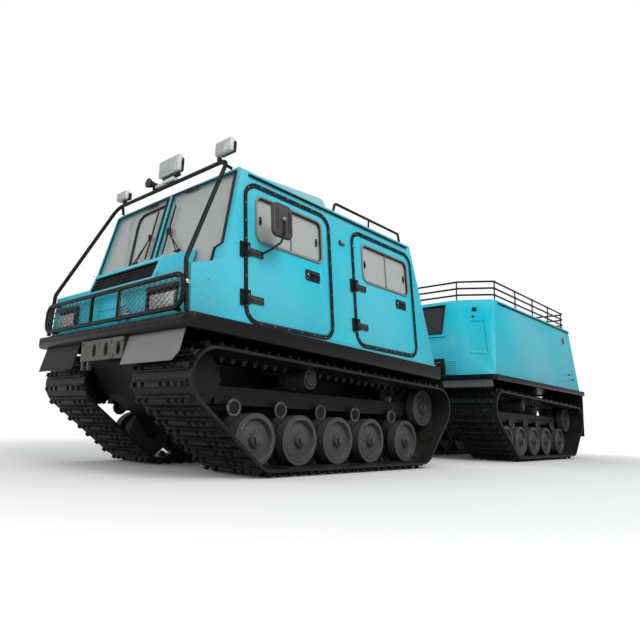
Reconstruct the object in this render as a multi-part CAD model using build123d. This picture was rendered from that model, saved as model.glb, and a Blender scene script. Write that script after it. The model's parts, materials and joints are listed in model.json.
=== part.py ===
from build123d import *
from math import acos, atan2, cos, hypot, pi, sin
import os

# Articulated tracked carrier: a front car with a crew cab and a rear car, hinged between them.
# Millimetres, +Z up, the front towards -Y and the vehicle's left towards +X.
# The origin is on the floor under the middle of the whole vehicle.

# Clearances and plate thicknesses
SEAT = 0.3                      # a piece that is fastened on another stands this far off its seat
RUN = 0.05                      # radial clearance of a pin or shaft that turns
WHEEL_CLEAR = 1.8               # between a wheel and the belt's chords round it
DOOR_GAP = 7.0                  # between a door's edge and its opening
WALL = 40.0                     # whole thickness of a cab wall, body wall or door
GLASS = 6.0
SHEET = 6.0

# Running gear, the same on both cars and both sides
TRACK_OUT = 935.0               # outer edge of a belt from the middle of the vehicle
TRACK_WIDTH = 620.0
BELT_THICK = 18.0
RIB_HIGH = 35.0
RIB_PITCH = 96.0
RIB_LONG = 44.0                 # along the belt, at its root
RIB_TIP = 30.0
ROAD_R = 174.0                  # radius of the belt's inner face round a road wheel
SPROCKET_R = 166.0
IDLER_R = 165.0
ROLLER_R = 70.0
ROAD_Z = ROAD_R + BELT_THICK + RIB_HIGH
ROAD_FIRST = -2696.0            # first axle of the front car
ROAD_STEPS = (0.0, 416.0, 832.0, 1248.0, 1757.0)
SPROCKET_AT = (-3174.0, 585.0)
IDLER_AT = (-660.0, 522.0)
ROLLER_Y = -2198.0
WHEEL_GAP = 96.0                # between the twin discs of a wheel, for the guide horns
DISC_WIDE = 78.0
AXLE_R = 24.0
CAR_STEP = 3884.0               # from the front car's running gear to the rear car's

# Platforms: the black deck frames that carry the bodies
DECK_HALF = 975.0
DECK_FRONT = -3450.0
DECK_REAR = -672.0
DECK_TOP = (930.0, 880.0)       # at the front and at the rear
DECK_LOW = (843.0, 771.0)
DECK_PLATE = 34.0
DECK_RAIL = 60.0
DECK_CORNER = 70.0
DECK_ROUND = 43.0               # radius of the front deck's rounded nose
REAR_DECK_FRONT = 426.0
REAR_DECK_REAR = 3450.0
REAR_DECK_TOP = 932.0
REAR_DECK_LOW = 874.0
HULL_HALF = 296.0
HULL_LOW = 352.0                # ground clearance
HULL_NOSE = -3330.0
TOW_X = (-240.0, 306.0)
TOW_LOW = 704.0
TOW_SLOTS = (-60.0, 95.0, 250.0)
TOW_SLOT = (770.0, 84.0, 52.0)  # height of its middle, length and width

# Cab: its sides lean inwards
SIDE_HALF = DECK_HALF - 75      # half width at SIDE_Z
SIDE_Z = 930.0
LEAN = 0.098                    # inwards for each unit up
NOSE_Y = -3373.0
NOSE_TOP = 1232.0
SCREEN_FOOT = (-3126.0, 1312.0)
SCREEN_TOP = (-2988.0, 2002.0)
CAB_REAR_LOW = -690.0
CAB_REAR_TOP = -976.0
ROOF_EDGE = 1985.0
ROOF_CROWN = 2036.0
CAB_LOW = 880.0
POD_HALF = 640.0                # the housing on the roof: half width, then (y, height over the crown)
POD_OUTLINE = ((-2880.0, 4.0), (-2850.0, 34.0), (-2040.0, 104.0), (-2000.0, 94.0), (-1930.0, 4.0))

# Doors of the cab: front edge, rear edge, foot and top; then the window's same four
DOORS = {
    "front": ((-2943.0, -2151.0, 968.0, 1878.0), (-2867.0, -2221.0, 1508.0, 1827.0)),
    "rear": ((-1828.0, -1016.0, 968.0, 1862.0), (-1720.0, -1064.0, 1486.0, 1800.0)),
}
DOOR_CORNER = 85.0
WINDOW_CORNER = 55.0
FRAME_WIDE = 26.0
SEAL_WIDE = 26.0
SEAL_HIGH = 9.0
HINGE_HEIGHTS = (1100.0, 1415.0)
PIN_OUT = 20.0                  # hinge pin's axis outside the door's face
PIN_AHEAD = 14.0                # and ahead of the door's front edge
PIN_R = 9.0
MIRROR_CORNER = 42.0

# Windscreens: inner edge, outer edge at foot and top, foot and top heights
SCREEN_INNER = 42.0
SCREEN_OUTER = (786.0, 742.0)
SCREEN_SILL = 1330.0
SCREEN_HEAD = 1962.0
REAR_LIGHT = (560.0, 1430.0, 1800.0)    # rear window's half width, foot and top
WIPERS = ((330.0, 112.0), (-250.0, -112.0))     # x of each pivot and of its resting blade

# Engine box on the nose with its louvres
BOX_X = (-330.0, 520.0)
BOX_FOOT = (-3400.0, 1180.0)
BOX_BROW = (-3345.0, 1340.0)
BOX_LIP = (22.0, 26.0)          # below and above its mouth
BOX_BACK = 1452.0               # height of its top where it meets the screen
BOX_SIDE = 28.0
LOUVRES = 5
ENGINE_X = (-280.0, 330.0)
ENGINE_Y = (-3160.0, -2760.0)
ENGINE_TOP = 1176.0

# Tubes
GUARD_R = 14.0
GUARD_HALF = 885.0
GUARD_Y = -3424.0
GUARD_LOW = 962.0
GUARD_TOP = 1160.0
GUARD_BAR = 180.0
GUARD_BEND = 70.0
MESH_STRIPS = 12
STAY_FOOT = (893.0, -3396.0, 940.0)
STAY_KNEE = (854.0, -3398.0, 1254.0)
STAY_HEAD = (712.0, -3040.0, 2052.0)
RAIL_R = 11.0
CAB_RAIL = (735.0, -1990.0, -1050.0, ROOF_CROWN + 54)     # x, front, rear, height
REAR_RAIL_HEIGHTS = (1905.0, 1985.0, 2066.0)

# Rear body
REAR_BODY_TOP = 1830.0
REAR_FRONT = (452.0, 620.0)     # front wall at foot and top
REAR_REAR = (3427.0, 3300.0)
CHAMFER_FOOT = ((552.0, 452.0), (900.0, 612.0))
CHAMFER_TOP_Y = 795.0
RECESS = ((-105.0, 275.0), (105.0, 275.0), (71.0, 650.0), (-71.0, 650.0))   # in each chamfer, (across, up)
RECESS_DEEP = 10.0
REAR_DOOR_HALF = 400.0
REAR_DOOR_Z = (965.0, 1740.0)
TAIL_WINDOW = (200.0, 1400.0, 1640.0)   # half width, foot and top
TAIL_HINGES = (1080.0, 1620.0)

BENCH = (330.0, 1340.0)         # depth and height of the rear car's benches

# Articulation
PITCH_AT = (-530.0, 520.0)      # transverse pin at the front car's tail
YAW_Y = 20.0                    # vertical pin in the middle
JOINT_Z = 520.0
ROLL_FRONT = 240.0
ROLL_REAR = 640.0
ROLL_R = 70.0
PIN_THICK = 32.0                # radius of the pitch and yaw pins
CYL_X = 185.0                   # steering cylinders beside the middle
CYL_BASE_Y = -400.0
CYL_EYE_Y = 170.0
CYL_R = 34.0
ROD_R = 18.0
CYL_LONG = 340.0
CYL_BORE = (50.0, 165.0)        # start of the bore and of the rod in it, from the base pin
CYL_Z = 612.0


def box(x0, x1, y0, y1, z0, z1):
    """A block between two corners."""
    middle = ((x0 + x1) / 2, (y0 + y1) / 2, (z0 + z1) / 2)
    return Pos(*middle) * Box(abs(x1 - x0), abs(y1 - y0), abs(z1 - z0))


def prism_x(outline, x0, x1):
    """An outline of (y, z) points, carried from x0 to x1."""
    face = Face(Wire.make_polygon([(x0, y, z) for y, z in outline], close=True))
    return extrude(face, amount=x1 - x0, dir=(1, 0, 0))


def prism_y(outline, y0, y1):
    """An outline of (x, z) points, carried from y0 to y1."""
    face = Face(Wire.make_polygon([(x, y0, z) for x, z in outline], close=True))
    return extrude(face, amount=y1 - y0, dir=(0, 1, 0))


def rod(start, end, radius):
    """A round bar from one point to another."""
    line = Vector(*end) - Vector(*start)
    return extrude(Plane(Vector(*start), z_dir=line) * Circle(radius), amount=line.length)


def tube(points, radius, bend, close=False):
    """A bent round bar through the points, each corner an arc."""
    path = FilletPolyline(*points, radius=bend, close=close)
    start = Plane(path @ 0, z_dir=path % 0)
    return sweep(start * Circle(radius), path=path)


def mirrored(shape):
    """The same shape on the other side of the vehicle."""
    return shape.mirror(Plane.YZ)


def both(shape):
    """A shape and its mirror image, as separate solids."""
    return [shape, mirrored(shape)]


def fuse(shapes):
    """All shapes as one."""
    whole = shapes[0]
    for shape in shapes[1:]:
        whole = whole + shape
    return whole


def solids_of(shapes):
    """The single solids in a shape or a list of shapes."""
    found = []
    for shape in shapes if isinstance(shapes, (list, tuple)) else [shapes]:
        found += list(shape.solids())
    return found


NODES = {}


def keep(name, shapes):
    """Write one node's solids."""
    solids = solids_of(shapes)
    NODES[name] = solids
    whole = solids[0] if len(solids) == 1 else Compound(children=solids)
    whole.label = name
    export_step(whole, "parts/" + name + ".step")


def half_width(z):
    """Half width of a body at a height, outside."""
    return SIDE_HALF - (z - SIDE_Z) * LEAN


# The left side's own plane: across is the vehicle's length, up follows the lean
SIDE = Plane(origin=(SIDE_HALF, 0, SIDE_Z), x_dir=(0, 1, 0), z_dir=(1, 0, LEAN))
UP = hypot(1, LEAN)             # length along the side for each unit of height


def side_panel(edges, corner, out, inn, grow=0.0):
    """A round-cornered panel in the left side, between two depths from its face."""
    y0, y1, z0, z1 = edges
    y0, y1, z0, z1 = y0 - grow, y1 + grow, z0 - grow, z1 + grow
    low, high = (z0 - SIDE_Z) * UP, (z1 - SIDE_Z) * UP
    sketch = Pos((y0 + y1) / 2, (low + high) / 2) * RectangleRounded(y1 - y0, high - low, corner + grow)
    return extrude(SIDE.offset(inn) * sketch, amount=out - inn)


def side_box(y0, y1, z0, z1, inn, out):
    """A plain block on the left side, between two depths from its face."""
    low, high = (z0 - SIDE_Z) * UP, (z1 - SIDE_Z) * UP
    sketch = Pos((y0 + y1) / 2, (low + high) / 2) * Rectangle(y1 - y0, high - low)
    return extrude(SIDE.offset(inn) * sketch, amount=out - inn)


# Running gear

def belt_circles(step):
    """The four circles that the belt's inner face wraps, as (y, z, radius)."""
    return [
        (SPROCKET_AT[0] + step, SPROCKET_AT[1], SPROCKET_R),
        (ROAD_FIRST + ROAD_STEPS[0] + step, ROAD_Z, ROAD_R),
        (ROAD_FIRST + ROAD_STEPS[-1] + step, ROAD_Z, ROAD_R),
        (IDLER_AT[0] + step, IDLER_AT[1], IDLER_R),
    ]


def belt_pieces(step):
    """Straight runs and arcs of the belt's outer face, in order, each with its length."""
    circles = belt_circles(step)
    normals = []
    for here, there in zip(circles, circles[1:] + circles[:1]):
        dy, dz = there[0] - here[0], there[1] - here[1]
        normals.append(atan2(dz, dy) - acos((here[2] - there[2]) / hypot(dy, dz)))
    pieces = []
    for index, (y, z, radius) in enumerate(circles):
        outer = radius + BELT_THICK
        before, after = normals[index - 1], normals[index]
        turn = (after - before) % (2 * pi)
        pieces.append(("arc", (y, z, outer, before), outer * turn))
        y2, z2, radius2 = circles[(index + 1) % len(circles)]
        start = (y + outer * cos(after), z + outer * sin(after))
        end = (y2 + (radius2 + BELT_THICK) * cos(after), z2 + (radius2 + BELT_THICK) * sin(after))
        pieces.append(("run", (start, end, after), hypot(end[0] - start[0], end[1] - start[1])))
    return pieces


def belt_point(pieces, along, out):
    """The point at a distance along the belt's outer face, and out from it."""
    for kind, data, length in pieces:
        if along > length:
            along -= length
            continue
        if kind == "arc":
            y, z, radius, angle = data
            angle += along / radius
            return (y + (radius + out) * cos(angle), z + (radius + out) * sin(angle))
        (y0, z0), (y1, z1), angle = data
        share = along / length
        return (y0 + (y1 - y0) * share + out * cos(angle), z0 + (z1 - z0) * share + out * sin(angle))
    return belt_point(pieces, 0.0, out)


def belt(step):
    """The left belt of one car: a closed loop with its cross ribs in its outline."""
    pieces = belt_pieces(step)
    total = sum(piece[2] for piece in pieces)
    ribs = round(total / RIB_PITCH)
    pitch = total / ribs
    outer, inner = [], []
    for rib in range(ribs):
        at = rib * pitch
        root, tip = (RIB_LONG / 2, RIB_TIP / 2)
        for ahead, out in ((-root, 0.0), (-tip, RIB_HIGH), (tip, RIB_HIGH), (root, 0.0)):
            outer.append(belt_point(pieces, at + pitch / 2 + ahead, out))
        inner += [belt_point(pieces, at, -BELT_THICK), belt_point(pieces, at + pitch / 2, -BELT_THICK)]
    x0 = TRACK_OUT - TRACK_WIDTH
    return prism_x(outer, x0, TRACK_OUT) - prism_x(inner, x0 - 10, TRACK_OUT + 10)


def lathe(sections, y, z):
    """A turned piece on a transverse axis; sections are (x, radius) pairs, the bore cut after."""
    outline = [(sections[0][0], 0.0)] + list(sections) + [(sections[-1][0], 0.0)]
    face = Face(Wire.make_polygon([(x, 0, r) for x, r in outline], close=True))
    return Pos(0, y, z) * revolve(face, axis=Axis.X)


TRACK_MID = TRACK_OUT - TRACK_WIDTH / 2
DISC_OUT = WHEEL_GAP / 2 + DISC_WIDE


def twin_wheel(y, z, radius):
    """Twin dished discs on one hub, with its bore; the outer disc's dish faces out."""
    rim = radius * 0.82
    outside = [
        (-DISC_OUT - 8, 46), (-DISC_OUT + 14, 46), (-DISC_OUT + 14, rim), (-DISC_OUT, rim),
        (-DISC_OUT, radius), (-WHEEL_GAP / 2, radius), (-WHEEL_GAP / 2, 60), (WHEEL_GAP / 2, 60),
        (WHEEL_GAP / 2, radius), (DISC_OUT, radius), (DISC_OUT, rim), (DISC_OUT - 26, rim - 14),
        (DISC_OUT - 14, 52), (DISC_OUT + 10, 46),
    ]
    wheel = lathe([(TRACK_MID + x, r) for x, r in outside], y, z)
    bore = rod((TRACK_MID - 200, y, z), (TRACK_MID + DISC_OUT - 30, y, z), AXLE_R + SEAT)
    return wheel - bore


def sprocket(y, z):
    """The drive sprocket: a drum with two rings of teeth that stay inside the belt."""
    drum = lathe([(TRACK_MID - 150, 92), (TRACK_MID + 150, 92)], y, z)
    ring = Circle(SPROCKET_R - 12)
    tooth = Rectangle(26, 22)
    for index in range(12):
        ring += Rot(0, 0, index * 30) * Pos(SPROCKET_R - 12, 0) * tooth
    ring = ring & Circle(SPROCKET_R - WHEEL_CLEAR)
    for x in (TRACK_MID - 130, TRACK_MID + 108):
        plane = Plane(origin=(x, y, z), x_dir=(0, 1, 0), z_dir=(1, 0, 0))
        drum += extrude(plane * ring, amount=22)
    return drum - rod((TRACK_MID - 160, y, z), (TRACK_MID + 130, y, z), AXLE_R + 6 + SEAT)


def wheels(step):
    """All wheels of one car's left side."""
    made = [twin_wheel(ROAD_FIRST + at + step, ROAD_Z, ROAD_R - WHEEL_CLEAR) for at in ROAD_STEPS]
    made.append(twin_wheel(IDLER_AT[0] + step, IDLER_AT[1], IDLER_R - WHEEL_CLEAR))
    made.append(twin_wheel(ROLLER_Y + step, roller_height(), ROLLER_R - WHEEL_CLEAR))
    made.append(sprocket(SPROCKET_AT[0] + step, SPROCKET_AT[1]))
    return made


def roller_height():
    """Height of the support roller, so that it touches the belt's top run."""
    pieces = belt_pieces(0.0)
    (y0, z0), (y1, z1), angle = pieces[-1][1]
    share = (ROLLER_Y - y0) / (y1 - y0)
    return z0 + (z1 - z0) * share - (BELT_THICK + ROLLER_R) / sin(angle)


BEAM_X = (TRACK_MID - WHEEL_GAP / 2 + 6.0, TRACK_MID + WHEEL_GAP / 2 - 6.0)
BEAM_Z = (446.0, 560.0)
ARM_AHEAD = 160.0
ARM_UP = 205.0
ARM_X = (TRACK_MID - DISC_OUT - 52.0, TRACK_MID - DISC_OUT - 14.0)


def frame_side(step):
    """Left track frame: beam, arm tubes, trailing arms and every wheel's axle."""
    front = SPROCKET_AT[0] + SPROCKET_R + 24 + step
    rear = IDLER_AT[0] - IDLER_R - 24 + step
    made = [box(*BEAM_X, front, rear, *BEAM_Z)]
    for at in ROAD_STEPS:
        y = ROAD_FIRST + at + step
        pivot = (y - ARM_AHEAD, ROAD_Z + ARM_UP)
        made.append(rod((HULL_HALF + SEAT, *pivot), (TRACK_MID + 74, *pivot), 34))
        arm = rod((ARM_X[0], *pivot), (ARM_X[1], *pivot), 44)
        arm += rod((ARM_X[0], y, ROAD_Z), (ARM_X[1], y, ROAD_Z), 36)
        arm += prism_x([(y - ARM_AHEAD - 26, pivot[1] - 20), (y - ARM_AHEAD + 26, pivot[1] + 20),
                        (y + 26, ROAD_Z + 12), (y - 22, ROAD_Z - 16)], *ARM_X)
        made.append(arm)
        made.append(rod((ARM_X[0], y, ROAD_Z), (TRACK_MID + DISC_OUT - 34, y, ROAD_Z), AXLE_R))
    return fuse(made)


def end_axles(step):
    """Left carriers of sprocket, idler and support roller, out from the hull's side."""
    made = []
    ends = [(SPROCKET_AT[0] + step, SPROCKET_AT[1], AXLE_R + 6, TRACK_MID + 120),
            (IDLER_AT[0] + step, IDLER_AT[1], AXLE_R, TRACK_MID + DISC_OUT - 34),
            (ROLLER_Y + step, roller_height(), AXLE_R, TRACK_MID + DISC_OUT - 34)]
    for y, z, radius, reach in ends:
        axle = rod((HULL_HALF + SEAT, y, z), (reach, y, z), radius)
        made.append(axle + rod((HULL_HALF + SEAT, y, z), (ARM_X[1] - 20, y, z), radius + 26))
    return made


# Decks and hulls

def front_chassis():
    """Front car's deck frame with the hull tub below it and the tow plate at its nose."""
    nose = DECK_FRONT + DECK_ROUND
    outline = [(nose, DECK_LOW[0]), (nose, DECK_TOP[0]), (DECK_REAR, DECK_TOP[1]), (DECK_REAR, DECK_LOW[1])]
    deck = prism_x(outline, -DECK_HALF, DECK_HALF)
    middle = (DECK_LOW[0] + DECK_TOP[0]) / 2
    deck = deck + rod((-DECK_HALF, nose, middle), (DECK_HALF, nose, middle), DECK_ROUND)
    corner = DECK_CORNER
    plan = RectangleRounded(2 * DECK_HALF, DECK_REAR - DECK_FRONT, corner)
    plan = Pos(0, (DECK_FRONT + DECK_REAR) / 2) * plan
    deck = deck & extrude(plan, amount=1200)
    pocket = [(DECK_FRONT + DECK_RAIL, DECK_LOW[0] - 200), (DECK_FRONT + DECK_RAIL, DECK_TOP[0] - DECK_PLATE),
              (DECK_REAR - DECK_RAIL, DECK_TOP[1] - DECK_PLATE), (DECK_REAR - DECK_RAIL, DECK_LOW[1] - 200)]
    deck = deck - prism_x(pocket, -DECK_HALF + DECK_RAIL, DECK_HALF - DECK_RAIL)
    hull = prism_x([(HULL_NOSE, 880), (HULL_NOSE, 700), (-3190, 500), (-2960, HULL_LOW + 14),
                    (-2880, HULL_LOW), (-900, HULL_LOW), (-730, 440), (-700, 600), (-700, 860)],
                   -HULL_HALF, HULL_HALF)
    ears = fuse([box(x, x + 40, -704, PITCH_AT[0] + 60, JOINT_Z - 60, JOINT_Z + 60) for x in (-190, 150)])
    ears = ears - rod((-300, *PITCH_AT), (300, *PITCH_AT), PIN_THICK + RUN)
    return fuse([deck, hull, ears])


def tow_plate():
    """Plate with three tow slots, on a bracket under the nose of the front deck."""
    top = DECK_LOW[0] - 1.5 - SEAT
    plate = box(*TOW_X, DECK_FRONT + 14, DECK_FRONT + 30, TOW_LOW, top)
    for x in TOW_SLOTS:
        face = Plane(origin=(x, DECK_FRONT, TOW_SLOT[0]), x_dir=(0, 0, 1), z_dir=(0, 1, 0))
        slot = face * SlotOverall(*TOW_SLOT[1:])
        plate = plate - extrude(slot, amount=60)
    bracket = box(-200, HULL_HALF - 4, DECK_FRONT + 30, HULL_NOSE - SEAT, 795, top)
    return plate + bracket


def rear_chassis():
    """Rear car's deck frame and hull tub, with the roll bearing's bore in its nose."""
    deck = box(-DECK_HALF, DECK_HALF, REAR_DECK_FRONT, REAR_DECK_REAR, REAR_DECK_LOW, REAR_DECK_TOP)
    plan = Pos(0, (REAR_DECK_FRONT + REAR_DECK_REAR) / 2)
    plan = plan * RectangleRounded(2 * DECK_HALF, REAR_DECK_REAR - REAR_DECK_FRONT, DECK_CORNER)
    deck = deck & extrude(plan, amount=1200)
    deck = deck - box(-DECK_HALF + DECK_RAIL, DECK_HALF - DECK_RAIL, REAR_DECK_FRONT + DECK_RAIL,
                      REAR_DECK_REAR - DECK_RAIL, 700, REAR_DECK_TOP - DECK_PLATE)
    hull = prism_x([(470, 905), (470, 560), (560, 430), (700, HULL_LOW), (3060, HULL_LOW), (3290, 520),
                    (3390, 700), (3390, 905)], -HULL_HALF, HULL_HALF)
    bearing = rod((0, ROLL_FRONT + 60, JOINT_Z), (0, 600, JOINT_Z), ROLL_R + 34)
    whole = fuse([deck, hull, bearing])
    hitch = box(-60, 60, 3280, REAR_DECK_REAR, 560, 640)
    hitch = hitch - rod((0, 3424, 500), (0, 3424, 700), 16)
    return fuse([whole, hitch]) - rod((0, 0, JOINT_Z), (0, ROLL_REAR, JOINT_Z), ROLL_R + RUN)


# Cab

def cab_solid(inset):
    """The cab's outer form, or with an inset its inside."""
    side = [(NOSE_Y + inset, CAB_LOW - 200), (NOSE_Y + inset, NOSE_TOP - inset * 0.7),
            (SCREEN_FOOT[0] + inset, SCREEN_FOOT[1] - inset * 0.7),
            (SCREEN_TOP[0] + inset, SCREEN_TOP[1] - inset), (SCREEN_TOP[0] + 40 + inset, ROOF_CROWN - inset),
            (CAB_REAR_TOP - 24 - inset, ROOF_CROWN - inset), (CAB_REAR_TOP - inset, ROOF_EDGE - inset),
            (CAB_REAR_LOW - inset, CAB_LOW), (CAB_REAR_LOW - inset, 700)]
    foot = 700.0
    front = [(half_width(foot) - inset, foot), (half_width(ROOF_EDGE) - inset, ROOF_EDGE - inset),
             (half_width(ROOF_EDGE) - 46 - inset, ROOF_EDGE + 28 - inset), (0, ROOF_CROWN - inset)]
    front += [(-x, z) for x, z in reversed(front[:-1])]
    return prism_x(side, -1000, 1000) & prism_y(front, -3600, -400)


def below_deck_top():
    """Everything under the front deck's top face, to trim the cab's foot."""
    slope = (DECK_TOP[1] - DECK_TOP[0]) / (DECK_REAR - DECK_FRONT - DECK_ROUND)
    at = [DECK_TOP[0] + SEAT + (y - DECK_FRONT - DECK_ROUND) * slope for y in (-3600, -400)]
    return prism_x([(-3600, 500), (-3600, at[0]), (-400, at[1]), (-400, 500)], -1100, 1100)


def screen_opening(sign, grow, y0, y1):
    """Windscreen opening on one side, through the front."""
    foot, top = SCREEN_OUTER
    outline = [(SCREEN_INNER - grow, SCREEN_SILL - grow), (foot - 70 + grow, SCREEN_SILL - grow),
               (foot - 70 + grow, 1420), (foot + grow, 1440), (top + grow, SCREEN_HEAD + grow),
               (SCREEN_INNER - grow, SCREEN_HEAD + 14 + grow)]
    return prism_y([(sign * x, z) for x, z in outline], y0, y1)


def cab_shell():
    """The cab's shell: front, sides, roof and rear wall with doorways and windows cut."""
    shell = cab_solid(0) - cab_solid(WALL) - below_deck_top()
    for edges, window in DOORS.values():
        cut = side_panel(edges, DOOR_CORNER, 60, -WALL - 60, DOOR_GAP)
        shell = shell - cut - mirrored(cut)
    for sign in (1, -1):
        shell = shell - screen_opening(sign, 0, -3300, -2900)
    half, low, high = REAR_LIGHT
    shell = shell - prism_y([(-half, low), (half, low), (half - 40, high), (-half + 40, high)], -1200, -600)
    engine = box(BOX_X[0] + BOX_SIDE, BOX_X[1] - BOX_SIDE, -3500, -3130, BOX_FOOT[1] + BOX_LIP[0], 1300)
    return shell - engine


def screen_y(z):
    """The windscreen plane's place at a height."""
    slope = (SCREEN_TOP[0] - SCREEN_FOOT[0]) / (SCREEN_TOP[1] - SCREEN_FOOT[1])
    return SCREEN_FOOT[0] + (z - SCREEN_FOOT[1]) * slope


def box_outline():
    """Outline (y, z) of the engine box, seated on the nose, shelf and screen."""
    clear = SEAT * 1.5
    return [BOX_FOOT, BOX_BROW, (screen_y(BOX_BACK) - clear, BOX_BACK),
            (SCREEN_FOOT[0] - clear, SCREEN_FOOT[1] + clear),
            (NOSE_Y - clear, NOSE_TOP + clear), (NOSE_Y - clear, BOX_FOOT[1])]


def engine_cover():
    """Box over the engine on the nose, open in front for its louvres."""
    cover = prism_x(box_outline(), *BOX_X)
    low, high = BOX_FOOT[1] + BOX_LIP[0], BOX_BROW[1] - BOX_LIP[1]
    back = screen_y(BOX_BACK) - 60
    cavity = [(BOX_FOOT[0] - 60, low), (BOX_BROW[0] - 60, high), (BOX_BROW[0] + 5, high), (back, 1396),
              (back, 1290), (NOSE_Y + 60, low)]
    return cover - prism_x(cavity, BOX_X[0] + BOX_SIDE, BOX_X[1] - BOX_SIDE)


def louvres():
    """Black louvres in the box's mouth, on upright bars."""
    lean = (BOX_BROW[0] - BOX_FOOT[0]) / (BOX_BROW[1] - BOX_FOOT[1])
    low, high = BOX_FOOT[1] + BOX_LIP[0] + SEAT, BOX_BROW[1] - BOX_LIP[1] - SEAT
    x0, x1 = BOX_X[0] + BOX_SIDE + SEAT, BOX_X[1] - BOX_SIDE - SEAT
    step = (high - low - 12) / (LOUVRES - 1)

    def face(z):
        return BOX_FOOT[0] + (z - BOX_FOOT[1]) * lean
    made = []
    for index in range(LOUVRES):
        z = low + index * step
        y = face(z)
        made.append(prism_x([(y, z), (y, z + 7), (y + 9, z + 12), (y + 9, z + 5)], x0, x1))
    bar = [(face(low) + 3, low), (face(high) + 3, high), (face(high) + 11, high), (face(low) + 11, low)]
    for x in (x0, x1 - 14, (x0 + x1) / 2):
        made.append(prism_x(bar, x, x + 14))
    return fuse(made)


def door(edges, window):
    """One left door's panel with its window cut."""
    panel = side_panel(edges, DOOR_CORNER, 0, -WALL)
    return panel - side_panel(window, WINDOW_CORNER, 30, -WALL - 30)


def door_glass(window):
    """The pane in a left door and the frame bar between its halves."""
    return side_panel(window, WINDOW_CORNER - SEAT, -14, -14 - GLASS, -SEAT)


def door_fittings(edges, window, mirror_arm):
    """Straps, handle and window frame of a left door, and the mirror of a front one."""
    made = []
    for height in HINGE_HEIGHTS:
        y = edges[0]
        strap = side_box(y + 4, y + 128, height - 24, height + 24, SEAT, SEAT + 12)
        knuckle = side_axis(y, height - 24, height + 24, PIN_R + 8)
        bridge = side_box(y - PIN_AHEAD, y + 10, height - 24, height + 24, SEAT + 2, SEAT + 14)
        made.append((strap + bridge + knuckle) - side_axis(y, height - 40, height + 40, PIN_R + RUN))
    y = edges[1]
    handle = side_box(y - 255, y - 103, 1345, 1425, SEAT, SEAT + 7)
    made.append(handle)
    ring = side_panel(window, WINDOW_CORNER, SEAT + 8, SEAT, FRAME_WIDE / 2)
    made.append(ring - side_panel(window, WINDOW_CORNER, 60, -20, -FRAME_WIDE / 2))
    if mirror_arm:
        made[1] = made[1] + mirror(edges[0])
    return made


def side_axis(y, z0, z1, radius):
    """A round bar on the hinge pin's line of a left door whose front edge is at y."""
    start = SIDE.from_local_coords(Vector(y - PIN_AHEAD, (z0 - SIDE_Z) * UP, PIN_OUT))
    end = SIDE.from_local_coords(Vector(y - PIN_AHEAD, (z1 - SIDE_Z) * UP, PIN_OUT))
    return rod(tuple(start), tuple(end), radius)


def mirror(y):
    """Mirror head and its arm, from the upper strap of a front door."""
    def at(along, height, out):
        return tuple(SIDE.from_local_coords(Vector(along, (height - SIDE_Z) * UP, out)))
    points = [at(y + 100, 1415, 6), at(y + 110, 1420, 90), at(y + 150, 1480, 146), at(y + 160, 1640, 146)]
    arm = fuse([rod(start, end, 8) for start, end in zip(points, points[1:])])
    arm = fuse([arm] + [Pos(*point) * Sphere(8) for point in points[1:-1]])
    head = side_panel((y + 70, y + 250, 1500, 1740), MIRROR_CORNER, 172, 136)
    return arm + head


def hinge_plates():
    """The body's halves of the door hinges, with their pins."""
    made = []
    for edges, window in DOORS.values():
        for height in HINGE_HEIGHTS:
            y = edges[0] - SEAL_WIDE - DOOR_GAP
            plate = side_box(y - 34, y - 2, height - 50, height + 50, SEAT, SEAT + 14)
            for low, high in ((height - 44, height - 25), (height + 25, height + 44)):
                plate += side_box(y - 10, edges[0] - PIN_AHEAD, low, high, SEAT + 10, SEAT + 24)
                plate += side_axis(edges[0], low, high, PIN_R + 7)
            plate += side_axis(edges[0], height - 44, height + 44, PIN_R)
            made += both(plate)
    return made


def seals():
    """Black rubber seals round the doorways and the windscreens."""
    made = []
    for edges, window in DOORS.values():
        ring = side_panel(edges, DOOR_CORNER, SEAT + SEAL_HIGH, SEAT, DOOR_GAP + SEAL_WIDE)
        ring = ring - side_panel(edges, DOOR_CORNER, 60, -20, DOOR_GAP)
        for height in HINGE_HEIGHTS:
            ring = ring - side_box(edges[0] - 90, edges[0] + 60, height - 52, height + 52, -20, 60)
        made += both(ring)
    for sign in (1, -1):
        ring = screen_opening(sign, 16, -3300, -2900) - screen_opening(sign, 0, -3300, -2900)
        skin = prism_x(screen_skin(-10, -SEAT), -1000, 1000)
        behind_box = box(BOX_X[0] - 1, BOX_X[1] + 1, -3300, -2900, 1200, BOX_BACK + 1)
        made.append((ring & skin) - behind_box)
    return made


def screen_skin(out, inn):
    """Outline (y, z) of a sheet that lies along the windscreen's plane between two depths."""
    (y0, z0), (y1, z1) = SCREEN_FOOT, SCREEN_TOP
    slope = (y1 - y0) / (z1 - z0)
    low, high = 1250.0, 2050.0
    at = [y0 + (z - z0) * slope for z in (low, high)]
    return [(at[0] + out, low), (at[1] + out, high), (at[1] + inn, high), (at[0] + inn, low)]


def cab_glass():
    """Both windscreen panes and the rear window's pane."""
    skin = prism_x(screen_skin(12, 12 + GLASS), -1000, 1000)
    panes = [screen_opening(sign, -SEAT, -3300, -2900) & skin for sign in (1, -1)]
    half, low, high = REAR_LIGHT
    pane = prism_y([(-half + SEAT, low + SEAT), (half - SEAT, low + SEAT), (half - 40 - SEAT, high - SEAT),
                    (-half + 40 + SEAT, high - SEAT)], -1300, -600)
    lean = (CAB_REAR_TOP - CAB_REAR_LOW) / (ROOF_EDGE - CAB_LOW)
    at = [CAB_REAR_LOW + (z - CAB_LOW) * lean for z in (1300, 1900)]
    sheet = prism_x([(at[0] - 20, 1300), (at[1] - 20, 1900), (at[1] - 20 - GLASS, 1900),
                     (at[0] - 20 - GLASS, 1300)], -900, 900)
    return panes + [pane & sheet]


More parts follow.
